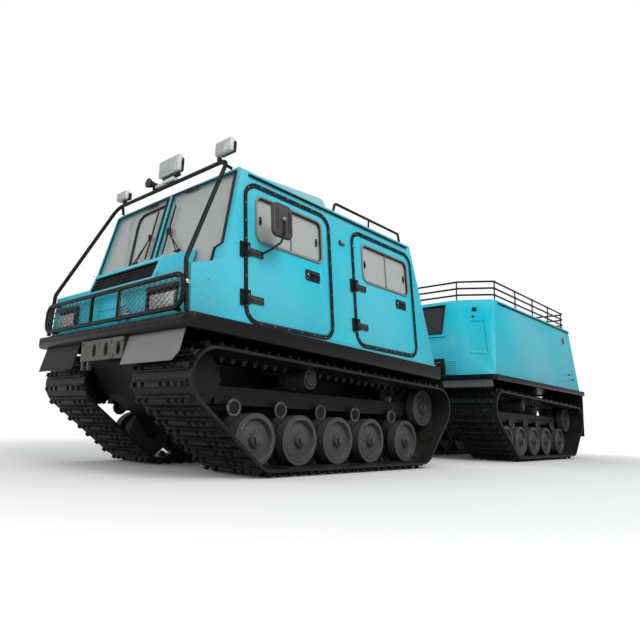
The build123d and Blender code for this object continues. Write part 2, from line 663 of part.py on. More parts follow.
def roof_pod():
    """Raised housing on the front of the roof."""
    outline = [(y, ROOF_CROWN + up) for y, up in POD_OUTLINE]
    foot = ROOF_CROWN - 46
    pod = prism_x(outline + [(outline[-1][0], foot), (outline[0][0], foot)], -POD_HALF, POD_HALF)
    return pod - cab_solid(-SEAT)


def seat_block(x, y, width, base):
    """A seat: cushion and back as one simple closed form, on the deck."""
    outline = [(y, base), (y, 1180), (y + 30, 1240), (y + 430, 1260), (y + 520, 1780), (y + 600, 1790),
               (y + 560, 1180), (y + 540, base)]
    return prism_x(outline, x - width / 2, x + width / 2)


def deck_height(y):
    """Height of the front deck's top face."""
    slope = (DECK_TOP[1] - DECK_TOP[0]) / (DECK_REAR - DECK_FRONT - DECK_ROUND)
    return DECK_TOP[0] + (y - DECK_FRONT - DECK_ROUND) * slope


def seats():
    """Two front seats and the rear bench."""
    made = [seat_block(x, -2560, 480, deck_height(-2560) + SEAT) for x in (520, -520)]
    made.append(seat_block(0, -1660, 1460, deck_height(-1660) + SEAT))
    return made


WHEEL_AT = Vector(520, -2764.0, 1356.0)
COLUMN = Vector(0, 180, 130).normalized()


def dashboard():
    """Dashboard across the cab with the steering column."""
    dash = prism_x([(-3060, 1190), (-3060, 1330), (-2880, 1350), (-2820, 1260), (-2860, 1190)], -760, 760)
    legs = [box(x - 20, x + 20, -3000, -2900, deck_height(-3000) + SEAT, 1200) for x in (-730, 730)]
    end = WHEEL_AT - COLUMN * (24 + SEAT)
    column = rod(tuple(end - COLUMN * 220), tuple(end), 26)
    return fuse([dash, *legs, column])


def steering_wheel():
    """Steering wheel with three spokes on its column's end."""
    plane = Plane(origin=WHEEL_AT, z_dir=COLUMN)
    rim = plane * Torus(190, 14)
    hub = extrude(plane.offset(-24) * Circle(38), amount=40)
    for angle in (90, 210, 330):
        spoke = Rot(0, 0, angle) * Pos(100, 0, 0) * Box(190, 26, 10)
        hub += plane * spoke
    return rim + hub


def brush_guard():
    """Guard of round tubes over the nose, its stays and the bar over the windscreen."""
    x, y = GUARD_HALF, GUARD_Y
    ring = tube([(-x, y, GUARD_LOW), (x, y, GUARD_LOW), (x, y, GUARD_TOP), (-x, y, GUARD_TOP)],
                GUARD_R, GUARD_BEND, close=True)
    made = [ring]
    for at in (-GUARD_BAR, GUARD_BAR):
        made.append(rod((at, y, GUARD_LOW), (at, y, GUARD_TOP), GUARD_R - 2))
    for sign in (1, -1):
        for z in (GUARD_LOW, GUARD_TOP):
            made.append(rod((sign * (x - 90), y, z), (sign * (x - 90), NOSE_Y - SEAT, z), GUARD_R - 2))
        clamp = (GUARD_LOW + GUARD_TOP) / 2
        made.append(rod((sign * x, y, clamp), (sign * (x - 10), STAY_FOOT[1], clamp), GUARD_R - 2))
    hoop = [STAY_FOOT, STAY_KNEE, STAY_HEAD]
    hoop += [(-px, py, pz) for px, py, pz in reversed(hoop)]
    made.append(tube(hoop, GUARD_R, 90))
    for sign in (1, -1):
        head = (sign * 640, STAY_HEAD[1], STAY_HEAD[2])
        made.append(rod(head, (sign * 700, -2996, 2006), GUARD_R - 3))
    return fuse(made)


def guard_mesh():
    """Expanded metal in the guard's outer fields, as a lattice of strips."""
    made = []
    wide, high = 2 * (GUARD_HALF - GUARD_R - SEAT), GUARD_TOP - GUARD_LOW - 2 * (GUARD_R + SEAT)
    middle = (GUARD_LOW + GUARD_TOP) / 2
    inner = GUARD_BEND - GUARD_R
    back = Plane(origin=(0, GUARD_Y + 2, middle), x_dir=(1, 0, 0), z_dir=(0, -1, 0))
    field = extrude(back * RectangleRounded(wide, high, inner), amount=4)
    cut = extrude(back.offset(-3) * RectangleRounded(wide - 16, high - 16, inner - 8), amount=10)
    for sign in (1, -1):
        x0, x1 = sorted((sign * (GUARD_BAR + GUARD_R - 2 + SEAT), sign * GUARD_HALF))
        part = field & box(x0, x1, GUARD_Y - 10, GUARD_Y + 10, 0, 3000)
        edge = sign * (GUARD_BAR + GUARD_R - 2 + SEAT)
        span = sorted((edge + sign * 8, sign * GUARD_HALF))
        window = cut & box(*span, GUARD_Y - 10, GUARD_Y + 10, 0, 3000)
        lattice = part - window
        for index in range(MESH_STRIPS):
            at = x0 + (x1 - x0) * (index + 0.5) / MESH_STRIPS
            for lean in (45, -45):
                lattice += (Pos(at, GUARD_Y, middle) * Rot(0, lean, 0) * Box(5, 4, 300)) & part
        made.append(lattice)
    return made


WORK_LAMPS = (          # x from and to, half width and x of the foot, lower and upper edge over the bar
    (-690, -545, 14, -614, 22, 92), (606, 775, 14, 618, 22, 118), (-80, 182, 40, 50, 56, 186))


def lamps():
    """Headlamps under hoods, work lamps on the bar, horn and marker lamps."""
    made = []
    for x in (-620, 620):
        lamp = box(x - 146, x + 146, NOSE_Y - 34, NOSE_Y - SEAT, 985, 1115)
        hood = box(x - 154, x + 154, NOSE_Y - 36, NOSE_Y - SEAT, 1106, 1132)
        made.append(lamp + hood)
    y, z = STAY_HEAD[1], STAY_HEAD[2] + GUARD_R
    for x0, x1, half, stem, low, high in WORK_LAMPS:
        foot = box(stem - half, stem + half, y - 12, y + 12, z + SEAT, z + low + 4)
        made.append(foot + box(x0, x1, y - 38, y + 34, z + low, z + high))
    horn = rod((-175, y - 60, z + 50), (-175, y + 50, z + 50), 40)
    made.append(horn + box(-180, -170, y - 12, y + 12, z + SEAT, z + 16))
    made += both(side_box(-2010, -1946, 1722, 1754, SEAT, SEAT + 22))
    lean = (CAB_REAR_TOP - CAB_REAR_LOW) / (ROOF_EDGE - CAB_LOW)
    low, high = [(CAB_REAR_LOW + (z - CAB_LOW) * lean + SEAT, z) for z in (905, 985)]
    tail = [low, high, (high[0] + 38, 985), (low[0] + 38, 905)]
    made += both(prism_x(tail, 700, 840))
    return made


def cab_rails():
    """Roof side rails behind the pod, each with a post."""
    x, front, rear, height = CAB_RAIL
    foot = roof_height(x) + 2 * SEAT
    lifted = foot + RAIL_R * 20 / (height - foot)
    made = []
    for sign in (1, -1):
        rail = tube([(sign * x, front, lifted), (sign * x, front + 20, height),
                     (sign * x, rear - 20, height), (sign * x, rear, lifted)], RAIL_R, 28)
        middle = (front + rear) / 2
        made.append(rail + rod((sign * x, middle, foot), (sign * x, middle, height), RAIL_R - 3))
    return made


def roof_height(x):
    """Height of the cab's roof at a distance from the middle."""
    edge = half_width(ROOF_EDGE) - 46
    return ROOF_CROWN + (ROOF_EDGE + 28 - ROOF_CROWN) * x / edge


def front_flaps():
    """Plates that hang under the nose ahead of the tracks."""
    made = []
    top, low, cut = DECK_LOW[0] - 2 * SEAT, 660, 48
    for x0, x1 in ((TOW_X[1] + 6, 905), (-870, -335)):
        sheet = prism_x([(-3396, top), (-3402, top), (-3446, low), (-3440, low)], x0, x1)
        corner = [(x1 - cut, low - 1), (x1 + 1, low - 1), (x1 + 1, low + cut)]
        made.append(sheet - prism_y(corner, -3500, -3300) if x1 > 0 else sheet)
    return made


def wipers():
    """Parallel-arm wipers that stand on the engine box and rest beside the middle pillar."""
    made = []
    def before(x, z, ahead):
        return (x, screen_y(z) - ahead, z)
    for pivot, rest in WIPERS:
        side = 1 if pivot > 0 else -1
        parts = [rod(before(pivot, BOX_BACK - 2, 18), before(pivot, 1480, 18), 9)]
        parts.append(rod(before(pivot - side * 50, 1476, 18), before(pivot + side * 12, 1476, 18), 8))
        for shift in (0, 36):
            start, end = pivot - side * shift, rest + side * (20 - shift * 0.4)
            parts.append(rod(before(start, 1478, 18), before(end, 1650 + shift, 14), 4))
        parts.append(rod(before(rest, 1490, 10), before(rest, 1880, 10), 6))
        parts.append(box(rest - 16, rest + 30 * side, screen_y(1668) - 18, screen_y(1668) - 6, 1644, 1692))
        made.append(fuse(parts))
    return made


# Rear body

def chamfer_plane(sign):
    """The plane of a chamfered front corner, from the middle of its foot, facing out."""
    (x0, y0), (x1, y1) = CHAMFER_FOOT
    a, b = Vector(x0, y0, REAR_DECK_TOP), Vector(x1, y1, REAR_DECK_TOP)
    c = Vector(half_width(REAR_BODY_TOP), CHAMFER_TOP_Y, REAR_BODY_TOP)
    across, out, middle = b - a, (b - a).cross(c - a).normalized(), (a + b) / 2
    return Plane(origin=(sign * middle.X, middle.Y, middle.Z), x_dir=(across.X, sign * across.Y, 0),
                 z_dir=(sign * out.X, out.Y, out.Z))


def rear_form(inset):
    """The rear body's form inside six leaning faces and two chamfered corners."""
    low, high = REAR_DECK_TOP - 100, REAR_BODY_TOP - inset
    base = REAR_DECK_TOP

    def wall(foot, top, z):
        return foot + (top - foot) * (z - base) / (REAR_BODY_TOP - base)
    side = [(wall(*REAR_FRONT, low) + inset, low), (wall(*REAR_FRONT, high) + inset, high),
            (wall(*REAR_REAR, high) - inset, high), (wall(*REAR_REAR, low) - inset, low)]
    front = [(half_width(low) - inset, low), (half_width(high) - inset, high)]
    front += [(-x, z) for x, z in reversed(front)]
    form = prism_x(side, -1000, 1000) & prism_y(front, 300, 3600)
    for sign in (1, -1):
        form = form - chamfer_plane(sign) * Pos(0, 0, 500 - inset) * Box(4000, 4000, 1000)
    return form


def rear_wall_y(z):
    """The rear body's rear face at a height."""
    share = (z - REAR_DECK_TOP) / (REAR_BODY_TOP - REAR_DECK_TOP)
    return REAR_REAR[0] + (REAR_REAR[1] - REAR_REAR[0]) * share


def rear_front_y(z):
    """The rear body's front face at a height."""
    share = (z - REAR_DECK_TOP) / (REAR_BODY_TOP - REAR_DECK_TOP)
    return REAR_FRONT[0] + (REAR_FRONT[1] - REAR_FRONT[0]) * share


REAR_WINDOW = [(-272, 1436), (272, 1436), (282, 1782), (-282, 1782)]


def grown(outline, by):
    """An outline made larger about its middle by a margin."""
    mx = sum(p[0] for p in outline) / len(outline)
    mz = sum(p[1] for p in outline) / len(outline)
    return [(x + (by if x > mx else -by), z + (by if z > mz else -by)) for x, z in outline]


def rear_body():
    """Rear body's shell with its front window and rear doorway cut."""
    shell = rear_form(0) - rear_form(WALL) - box(-1100, 1100, 0, 4000, 600, REAR_DECK_TOP + SEAT)
    shell = shell - prism_y(REAR_WINDOW, 300, 900)
    for sign in (1, -1):
        outline = Wire.make_polygon([(x, up, 0) for x, up in RECESS], close=True)
        shell = shell - extrude(chamfer_plane(sign) * Face(outline), amount=RECESS_DEEP, both=True)
    half, (low, high) = REAR_DOOR_HALF + DOOR_GAP, REAR_DOOR_Z
    return shell - box(-half, half, 3100, 3600, low - DOOR_GAP, high + DOOR_GAP)


def rear_front_glass():
    """The pane in the rear body's front window."""
    low, high, inn = 1300, 1800, 14
    at = [rear_front_y(z) + inn for z in (low, high)]
    sheet = prism_x([(at[0], low), (at[1], high), (at[1] + GLASS, high), (at[0] + GLASS, low)], -600, 600)
    return prism_y(grown(REAR_WINDOW, -SEAT), 300, 900) & sheet


def rear_skin(out, inn, outline):
    """A sheet along the rear wall's plane, of an (x, z) outline, between two depths."""
    low, high = 850.0, 1900.0
    at = [rear_wall_y(z) for z in (low, high)]
    corners = [(at[0] + out, low), (at[1] + out, high), (at[1] + inn, high), (at[0] + inn, low)]
    return prism_x(corners, -1000, 1000) & prism_y(outline, 3000, 3700)


def upright(half, low, high):
    """An upright rectangle (x, z) about the middle."""
    return [(-half, low), (half, low), (half, high), (-half, high)]


def tail_door():
    """Rear door's panel."""
    half, (low, high) = REAR_DOOR_HALF, REAR_DOOR_Z
    panel = rear_skin(0, -WALL, upright(half, low, high))
    return panel - prism_y(upright(*TAIL_WINDOW), 3000, 3700)


def tail_door_glass():
    """The pane in the rear door."""
    half, low, high = TAIL_WINDOW
    return rear_skin(-14, -14 - GLASS, upright(half - SEAT, low + SEAT, high - SEAT))


REAR_PIN_X = -REAR_DOOR_HALF - PIN_AHEAD


def rear_pin(z0, z1, radius):
    """A round bar on the rear door's hinge line."""
    start, end = [(REAR_PIN_X, rear_wall_y(z) + PIN_OUT, z) for z in (z0, z1)]
    return rod(start, end, radius)


def tail_door_fittings():
    """Straps and handle of the rear door."""
    made = []
    for height in TAIL_HINGES:
        left = -REAR_DOOR_HALF
        strap = rear_skin(SEAT + 12, SEAT, [(left - PIN_AHEAD, height - 24), (left + 150, height - 24),
                                           (left + 150, height + 24), (left - PIN_AHEAD, height + 24)])
        knuckle = rear_pin(height - 24, height + 24, PIN_R + 8)
        made.append((strap + knuckle) - rear_pin(height - 40, height + 40, PIN_R + RUN))
    made.append(rear_skin(SEAT + 22, SEAT, [(270, 1260), (370, 1260), (370, 1300), (270, 1300)]))
    return made


def tail_hinge_plates():
    """Body halves of the rear door's hinges, with their pins."""
    made = []
    for height in TAIL_HINGES:
        x = -REAR_DOOR_HALF - DOOR_GAP
        plate = rear_skin(SEAT + 12, SEAT, [(x - 90, height - 48), (x - 34, height - 48),
                                           (x - 34, height + 48), (x - 90, height + 48)])
        for low, high in ((height - 46, height - 28), (height + 28, height + 46)):
            leaf = [(x - 40, low), (REAR_PIN_X, low), (REAR_PIN_X, high), (x - 40, high)]
            plate += rear_skin(SEAT + 24, SEAT + 8, leaf)
            plate += rear_pin(low, high, PIN_R + 7)
        made.append(plate + rear_pin(height - 46, height + 46, PIN_R))
    return made


def rear_rail():
    """Three-bar rail round the rear roof, chamfered at its front corners, on posts."""
    top_half = half_width(REAR_BODY_TOP) - 46
    front, side = 410, 885          # x of the rail's front corners and y of its side corners
    plan = [(front, 690), (top_half, side), (top_half, 3250)]
    plan += [(-x, y) for x, y in reversed(plan)]
    made = []
    for height in REAR_RAIL_HEIGHTS:
        made.append(tube([(x, y, height) for x, y in plan], RAIL_R, 60, close=True))
    foot = REAR_BODY_TOP + SEAT
    posts = [(x, y) for x in (-top_half, top_half) for y in (side + 20, 1500, 2060, 2620, 3150)]
    posts += [(x, y) for x in (-front + 20, front - 20) for y in (690, 3250)]
    for x, y in posts:
        made.append(rod((x, y, foot), (x, y, REAR_RAIL_HEIGHTS[-1]), RAIL_R - 3))
    return fuse(made)


def rear_lamps():
    """Lamps and small fittings on the rear body."""
    made = []
    for sign in (1, -1):
        outline = [(sign * 640, 960), (sign * 780, 960), (sign * 780, 1050), (sign * 640, 1050)]
        made.append(rear_skin(SEAT + 22, SEAT, outline))
        made.append(box(sign * 700, sign * 760, 3180, 3240, REAR_BODY_TOP + SEAT, REAR_BODY_TOP + 50))
    made += both(side_box(2950, 3010, 1612, 1650, SEAT, SEAT + 20))
    made.append(box(385, 530, REAR_DECK_FRONT + 2, REAR_FRONT[0] - 6, REAR_DECK_TOP + SEAT, 1110))
    return made


def rear_flaps():
    """Rear car's flaps: plates ahead of the tracks and rubber behind them."""
    made, top = [], REAR_DECK_LOW - SEAT
    for sign in (1, -1):
        span = sorted((sign * 340, sign * 930))
        made.append(prism_x([(440, top), (446, top), (470, 800), (464, 800)], *span))
        made.append(box(*span, 3444, 3449, 300, top))
    return made


def benches():
    """Side benches in the rear body."""
    made = []
    for sign in (1, -1):
        wall_x = half_width(1350) - WALL - 40
        foot, front = REAR_DECK_TOP + SEAT, wall_x - BENCH[0]
        outline = [(sign * wall_x, foot), (sign * wall_x, BENCH[1]), (sign * front, BENCH[1]), (sign * front, foot)]
        made.append(prism_y(outline, 1000, 3150))
    return made


# Articulation

def pitch_frame():
    """Fork that nods on the front car's tail pin and holds the yaw pin."""
    eye = rod((-148, *PITCH_AT), (148, *PITCH_AT), 58)
    neck = box(-110, 110, PITCH_AT[0] + 20, YAW_Y - 100, JOINT_Z - 46, JOINT_Z + 46)
    made = [eye, neck]
    for z0, z1 in ((JOINT_Z - 130, JOINT_Z - 84), (JOINT_Z + 84, JOINT_Z + 130)):
        made.append(box(-80, 80, YAW_Y - 220, YAW_Y, z0, z1))
        made.append(rod((0, YAW_Y, z0), (0, YAW_Y, z1), 80))
    made.append(box(-80, 80, YAW_Y - 240, YAW_Y - 110, JOINT_Z - 130, JOINT_Z + 130))
    arms = box(-CYL_X - 50, CYL_X + 50, CYL_BASE_Y - 34, CYL_BASE_Y + 34, JOINT_Z - 30, JOINT_Z + 30)
    made.append(arms)
    pins = [rod((x, CYL_BASE_Y, JOINT_Z), (x, CYL_BASE_Y, CYL_Z + 34), 16) for x in (-CYL_X, CYL_X)]
    pins += [rod((x, CYL_BASE_Y, JOINT_Z), (x, CYL_BASE_Y, CYL_Z - 24 - SEAT), 22) for x in (-CYL_X, CYL_X)]
    pitch_pin = rod((-200, *PITCH_AT), (200, *PITCH_AT), PIN_THICK)
    yaw_pin = rod((0, YAW_Y, JOINT_Z - 150), (0, YAW_Y, JOINT_Z + 150), PIN_THICK)
    return fuse(made + pins + [pitch_pin, yaw_pin])


def roll_arm():
    """Knuckle on the yaw pin with the long round journal of the roll bearing."""
    knuckle = rod((0, YAW_Y, JOINT_Z - 78), (0, YAW_Y, JOINT_Z + 78), 78)
    neck = box(-70, 70, YAW_Y + 20, ROLL_FRONT, JOINT_Z - 70, JOINT_Z + 70)
    journal = rod((0, ROLL_FRONT - 10, JOINT_Z), (0, ROLL_REAR - 20, JOINT_Z), ROLL_R)
    yoke = box(-CYL_X - 40, CYL_X + 40, CYL_EYE_Y - 30, CYL_EYE_Y + 30, JOINT_Z - 30, JOINT_Z + 30)
    pins = [rod((x, CYL_EYE_Y, JOINT_Z), (x, CYL_EYE_Y, CYL_Z - 22 - 5), 26) for x in (-CYL_X, CYL_X)]
    bore = rod((0, YAW_Y, 300), (0, YAW_Y, 800), PIN_THICK + RUN)
    return fuse([knuckle, neck, journal, yoke, *pins]) - bore


def cylinder(x):
    """Steering cylinder's barrel, its base eye on the pitch frame's pin."""
    eye = rod((x, CYL_BASE_Y, CYL_Z - 24), (x, CYL_BASE_Y, CYL_Z + 24), 34)
    barrel = rod((x, CYL_BASE_Y + 24, CYL_Z), (x, CYL_BASE_Y + CYL_LONG, CYL_Z), CYL_R)
    whole = eye + barrel - rod((x, CYL_BASE_Y, CYL_Z - 60), (x, CYL_BASE_Y, CYL_Z + 60), 16 + RUN)
    bore = rod((x, CYL_BASE_Y + CYL_BORE[0], CYL_Z), (x, CYL_BASE_Y + CYL_LONG + 10, CYL_Z), ROD_R + RUN)
    return whole - bore


def piston_rod(x):
    """Steering cylinder's rod with its eye and the eye's pin over the knuckle's boss."""
    shaft = rod((x, CYL_BASE_Y + CYL_BORE[1], CYL_Z), (x, CYL_EYE_Y, CYL_Z), ROD_R)
    eye = rod((x, CYL_EYE_Y, CYL_Z - 22), (x, CYL_EYE_Y, CYL_Z + 22), 34)
    return shaft + eye + rod((x, CYL_EYE_Y, CYL_Z), (x, CYL_EYE_Y, CYL_Z + 32), 15)


def build_front():
    """Front car's fixed nodes."""
    keep("front_chassis", front_chassis())
    keep("tow_plate", tow_plate())
    keep("cab_shell", cab_shell())
    keep("engine_cover", engine_cover())
    keep("nose_louvres", louvres())
    keep("roof_pod", roof_pod())
    keep("cab_glass", cab_glass())
    keep("cab_seals", seals())
    keep("door_hinge_plates", hinge_plates())
    keep("dashboard", dashboard())
    keep("steering_wheel", steering_wheel())
    keep("engine_block", box(*ENGINE_X, *ENGINE_Y, deck_height(ENGINE_Y[0]) + SEAT, ENGINE_TOP))
    keep("cab_seats", seats())
    keep("brush_guard", brush_guard())
    keep("guard_mesh", guard_mesh())
    keep("front_lamps", lamps())
    keep("cab_roof_rails", cab_rails())
    keep("front_flaps", front_flaps())
    keep("wipers", wipers())


def build_doors():
    """Four cab doors, each with its glass and fittings."""
    for place, (edges, window) in DOORS.items():
        panel, pane = door(edges, window), door_glass(window)
        fittings = door_fittings(edges, window, place == "front")
        for side, turn in (("left", lambda s: s), ("right", mirrored)):
            name = place + "_door_" + side
            keep(name, turn(panel))
            keep(name + "_glass", turn(pane))
            keep(name + "_fittings", [turn(piece) for piece in fittings])


def build_running_gear():
    """Belts, wheels and track frames of both cars."""
    for car, step in (("front", 0.0), ("rear", CAR_STEP)):
        loop = belt(step)
        keep(car + "_track_left", loop)
        keep(car + "_track_right", mirrored(loop))
        rolling = wheels(step)
        keep(car + "_wheels", rolling + [mirrored(piece) for piece in rolling])
        frame = frame_side(step)
        carriers = end_axles(step)
        left = [frame] + carriers
        keep(car + "_track_frames", left + [mirrored(piece) for piece in left])


def build_rear():
    """Rear car's nodes."""
    keep("rear_chassis", rear_chassis())
    keep("rear_body", rear_body())
    keep("rear_front_glass", rear_front_glass())
    keep("tail_door", tail_door())
    keep("tail_door_glass", tail_door_glass())
    keep("tail_door_fittings", tail_door_fittings())
    keep("tail_hinge_plates", tail_hinge_plates())
    keep("rear_roof_rail", rear_rail())
    keep("rear_lamps", rear_lamps())
    keep("rear_flaps", rear_flaps())
    keep("rear_benches", benches())


def build_articulation():
    """Pieces between the cars."""
    keep("pitch_frame", pitch_frame())
    keep("roll_arm", roll_arm())
    for side, x in (("left", CYL_X), ("right", -CYL_X)):
        keep("steer_cylinder_" + side, cylinder(x))
        keep("steer_rod_" + side, piston_rod(x))


os.makedirs("parts", exist_ok=True)
build_front()
build_doors()
build_running_gear()
build_rear()
build_articulation()
for name, solids in NODES.items():
    print(name, len(solids), round(sum(s.volume for s in solids) / 1e9, 4))
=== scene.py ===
# %% [markdown]
# # An articulated tracked carrier
# The real machine is a pair of steel cars on rubber tracks. A steered joint holds them together. The packed
# CAD model already has every piece at its true size and place, so this lesson only dresses it: the lines
# below load it as a fixed frame.

# %% Load the frame
import json
from math import acos, atan2, cos, hypot, pi, sin

import bmesh
import bpy
from mathutils import Matrix, Vector


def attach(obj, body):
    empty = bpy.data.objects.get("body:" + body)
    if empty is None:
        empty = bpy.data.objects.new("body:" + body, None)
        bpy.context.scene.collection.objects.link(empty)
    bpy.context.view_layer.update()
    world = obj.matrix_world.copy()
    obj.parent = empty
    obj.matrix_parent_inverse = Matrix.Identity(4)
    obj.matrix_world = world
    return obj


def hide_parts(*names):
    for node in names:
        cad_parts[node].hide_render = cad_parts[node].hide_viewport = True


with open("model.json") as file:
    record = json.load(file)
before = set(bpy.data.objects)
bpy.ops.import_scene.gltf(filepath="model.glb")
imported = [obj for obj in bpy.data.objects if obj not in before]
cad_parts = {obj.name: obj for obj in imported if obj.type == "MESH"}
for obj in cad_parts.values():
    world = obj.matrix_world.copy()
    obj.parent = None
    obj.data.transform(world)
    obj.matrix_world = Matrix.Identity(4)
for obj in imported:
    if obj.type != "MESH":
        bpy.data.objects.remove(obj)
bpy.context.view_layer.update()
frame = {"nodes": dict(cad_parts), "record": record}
cad = frame["nodes"]

# %% [markdown]
# ## The camera
# The photograph was taken near the ground, ahead of the vehicle's front left corner, with a wide lens. A
# camera could be aimed with a constraint, but its roll would be lost. Three angles give all of it: the yaw
# and pitch of the view, and the small roll of a camera held by hand.

# %% Camera
VIEW_FROM = Vector((3.514, -5.1835, 0.333))
YAW, PITCH, ROLL = 0.723, 0.182, 0.033
LENS, SENSOR = 31.47, 36.0
SHIFT = (-0.0088, 0.0042)

ahead = Vector((-sin(YAW) * cos(PITCH), cos(YAW) * cos(PITCH), sin(PITCH)))
level = Vector((cos(YAW), sin(YAW), 0))
upright = level.cross(ahead)
right = cos(ROLL) * level + sin(ROLL) * upright
up = cos(ROLL) * upright - sin(ROLL) * level

camera = bpy.data.objects.new("camera", bpy.data.cameras.new("camera"))
camera.matrix_world = Matrix.Translation(VIEW_FROM) @ Matrix((right, up, -ahead)).transposed().to_4x4()
camera.data.lens, camera.data.sensor_width = LENS, SENSOR
camera.data.shift_x, camera.data.shift_y = SHIFT
bpy.context.scene.collection.objects.link(camera)
bpy.context.scene.camera = camera
print("camera at", tuple(VIEW_FROM), "looking along", [round(v, 2) for v in ahead])

# %% [markdown]
# ## Helpers for shader nodes
# Shader trees are many small nodes and links. One helper makes a node, sets its choices and fills its sockets
# with a number, a colour or another node's output. Four short ones for the commonest nodes keep the materials
# readable.

# %% Shader node helpers
def add_node(tree, kind, sockets=None, **choices):
    """A shader node with its choices set and its sockets filled or linked."""
    made = tree.nodes.new("ShaderNode" + kind)
    for name, value in choices.items():
        setattr(made, name, value)
    for key, value in (sockets or {}).items():
        if isinstance(value, bpy.types.NodeSocket):
            tree.links.new(value, made.inputs[key])
        else:
            made.inputs[key].default_value = value
    return made


def maths(tree, operation, first, second, clamp=False):
    """The output of a Math node."""
    return add_node(tree, "Math", {0: first, 1: second}, operation=operation, use_clamp=clamp).outputs[0]


def spread(tree, value, source=(0.0, 1.0), target=(0.0, 1.0), smooth=False):
    """The output of a Map Range node, which carries one range of values over to another."""
    sockets = {"Value": value, "From Min": source[0], "From Max": source[1], "To Min": target[0],
               "To Max": target[1]}
    kind = "SMOOTHSTEP" if smooth else "LINEAR"
    return add_node(tree, "MapRange", sockets, interpolation_type=kind).outputs[0]


def noise(tree, place, scale, detail, roughness=0.5):
    """The output of a Noise node."""
    sockets = {"Vector": place, "Scale": scale, "Detail": detail, "Roughness": roughness}
    return add_node(tree, "TexNoise", sockets).outputs["Fac"]


def mixed(tree, share, first, second):
    """The output of a Mix node between two colours."""
    return add_node(tree, "Mix", {0: share, 6: first, 7: second}, data_type="RGBA").outputs[2]


def blank_material(name):
    """A material with an empty tree and its output."""
    material = bpy.data.materials.new(name)
    material.use_nodes = True
    material.node_tree.nodes.clear()
    return material, material.node_tree, material.node_tree.nodes.new("ShaderNodeOutputMaterial")


print("node helpers ready")

# %% [markdown]
# ## Floor and light
# The vehicle stands on a white studio floor that runs into a white background, with a soft shadow under it.
# The floor gets its white from light, which a shadow takes away, and far off also from a glow towards the
# camera. Even so it ends a little greyer than the background, so that a faint line shows at both sides. To
# light that bounces up it is grey, or the underside would be lit. The world is white to the camera and
# through glass, weaker as light, and weakest in reflections on the paint.

# %% Floor
FLOOR_SIZE = 60.0
GLOW_REACH, GLOW_LEVEL = (3.6, 8.0), (0.03, 0.62)
FLOOR_TO_LIGHT, FLOOR_TO_CAMERA = (0.38, 0.38, 0.38, 1), (0.72, 0.72, 0.72, 1)
floor_mesh = bmesh.new()
bmesh.ops.create_grid(floor_mesh, x_segments=1, y_segments=1, size=FLOOR_SIZE)
floor_data = bpy.data.meshes.new("studio_floor")
floor_mesh.to_mesh(floor_data)
floor_mesh.free()
floor = bpy.data.objects.new("studio_floor", floor_data)
bpy.context.scene.collection.objects.link(floor)

material, tree, out = blank_material("studio_floor")
path = add_node(tree, "LightPath").outputs
seen = maths(tree, "ADD", path["Is Camera Ray"], path["Is Glossy Ray"])
seen = maths(tree, "ADD", seen, path["Is Transmission Ray"], clamp=True)
place = add_node(tree, "TexCoord").outputs["Object"]
away = add_node(tree, "VectorMath", {0: place}, operation="LENGTH").outputs["Value"]
glow = maths(tree, "MULTIPLY", seen, spread(tree, away, GLOW_REACH, GLOW_LEVEL, smooth=True))
white = mixed(tree, path["Is Camera Ray"], FLOOR_TO_LIGHT, FLOOR_TO_CAMERA)
matt = add_node(tree, "BsdfDiffuse", {"Color": white})
shine = add_node(tree, "Emission", {"Color": (1, 1, 1, 1), "Strength": glow})
both = add_node(tree, "AddShader", {0: matt.outputs[0], 1: shine.outputs[0]})
tree.links.new(both.outputs[0], out.inputs["Surface"])
floor_data.materials.append(material)
print("floor", 2 * FLOOR_SIZE, "m wide")

# %% World and lamps
SKY_LEVEL, REFLECTION_LOSS = (0.78, 1.0), 0.33      # as light and to the camera; less in reflections
world = bpy.data.worlds.new("studio")
bpy.context.scene.world = world
world.use_nodes = True
tree = world.node_tree
tree.nodes.clear()
path = add_node(tree, "LightPath").outputs
seen = maths(tree, "ADD", path["Is Camera Ray"], path["Is Transmission Ray"], clamp=True)
shiny = maths(tree, "MULTIPLY", path["Is Glossy Ray"], REFLECTION_LOSS)
strength = maths(tree, "SUBTRACT", spread(tree, seen, target=SKY_LEVEL), shiny)
sky = add_node(tree, "Background", {"Color": (1, 1, 1, 1), "Strength": strength})
add_node(tree, "OutputWorld", {"Surface": sky.outputs[0]})


def soft_lamp(name, at, towards, size, power):
    """A large square lamp that faces a point."""
    lamp = bpy.data.objects.new(name, bpy.data.lights.new(name, "AREA"))
    lamp.data.size, lamp.data.energy = size, power
    aim = (Vector(towards) - Vector(at)).to_track_quat("-Z", "Y")
    lamp.matrix_world = Matrix.Translation(at) @ aim.to_matrix().to_4x4()
    bpy.context.scene.collection.objects.link(lamp)


soft_lamp("key_lamp", (8.5, -3.5, 8.0), (0, 0, 1.2), 6.0, 620)
soft_lamp("front_lamp", (-3.0, -10.0, 5.0), (0, -2, 1.0), 5.0, 170)
bpy.context.scene.view_settings.view_transform = "Standard"
print("world and two lamps")
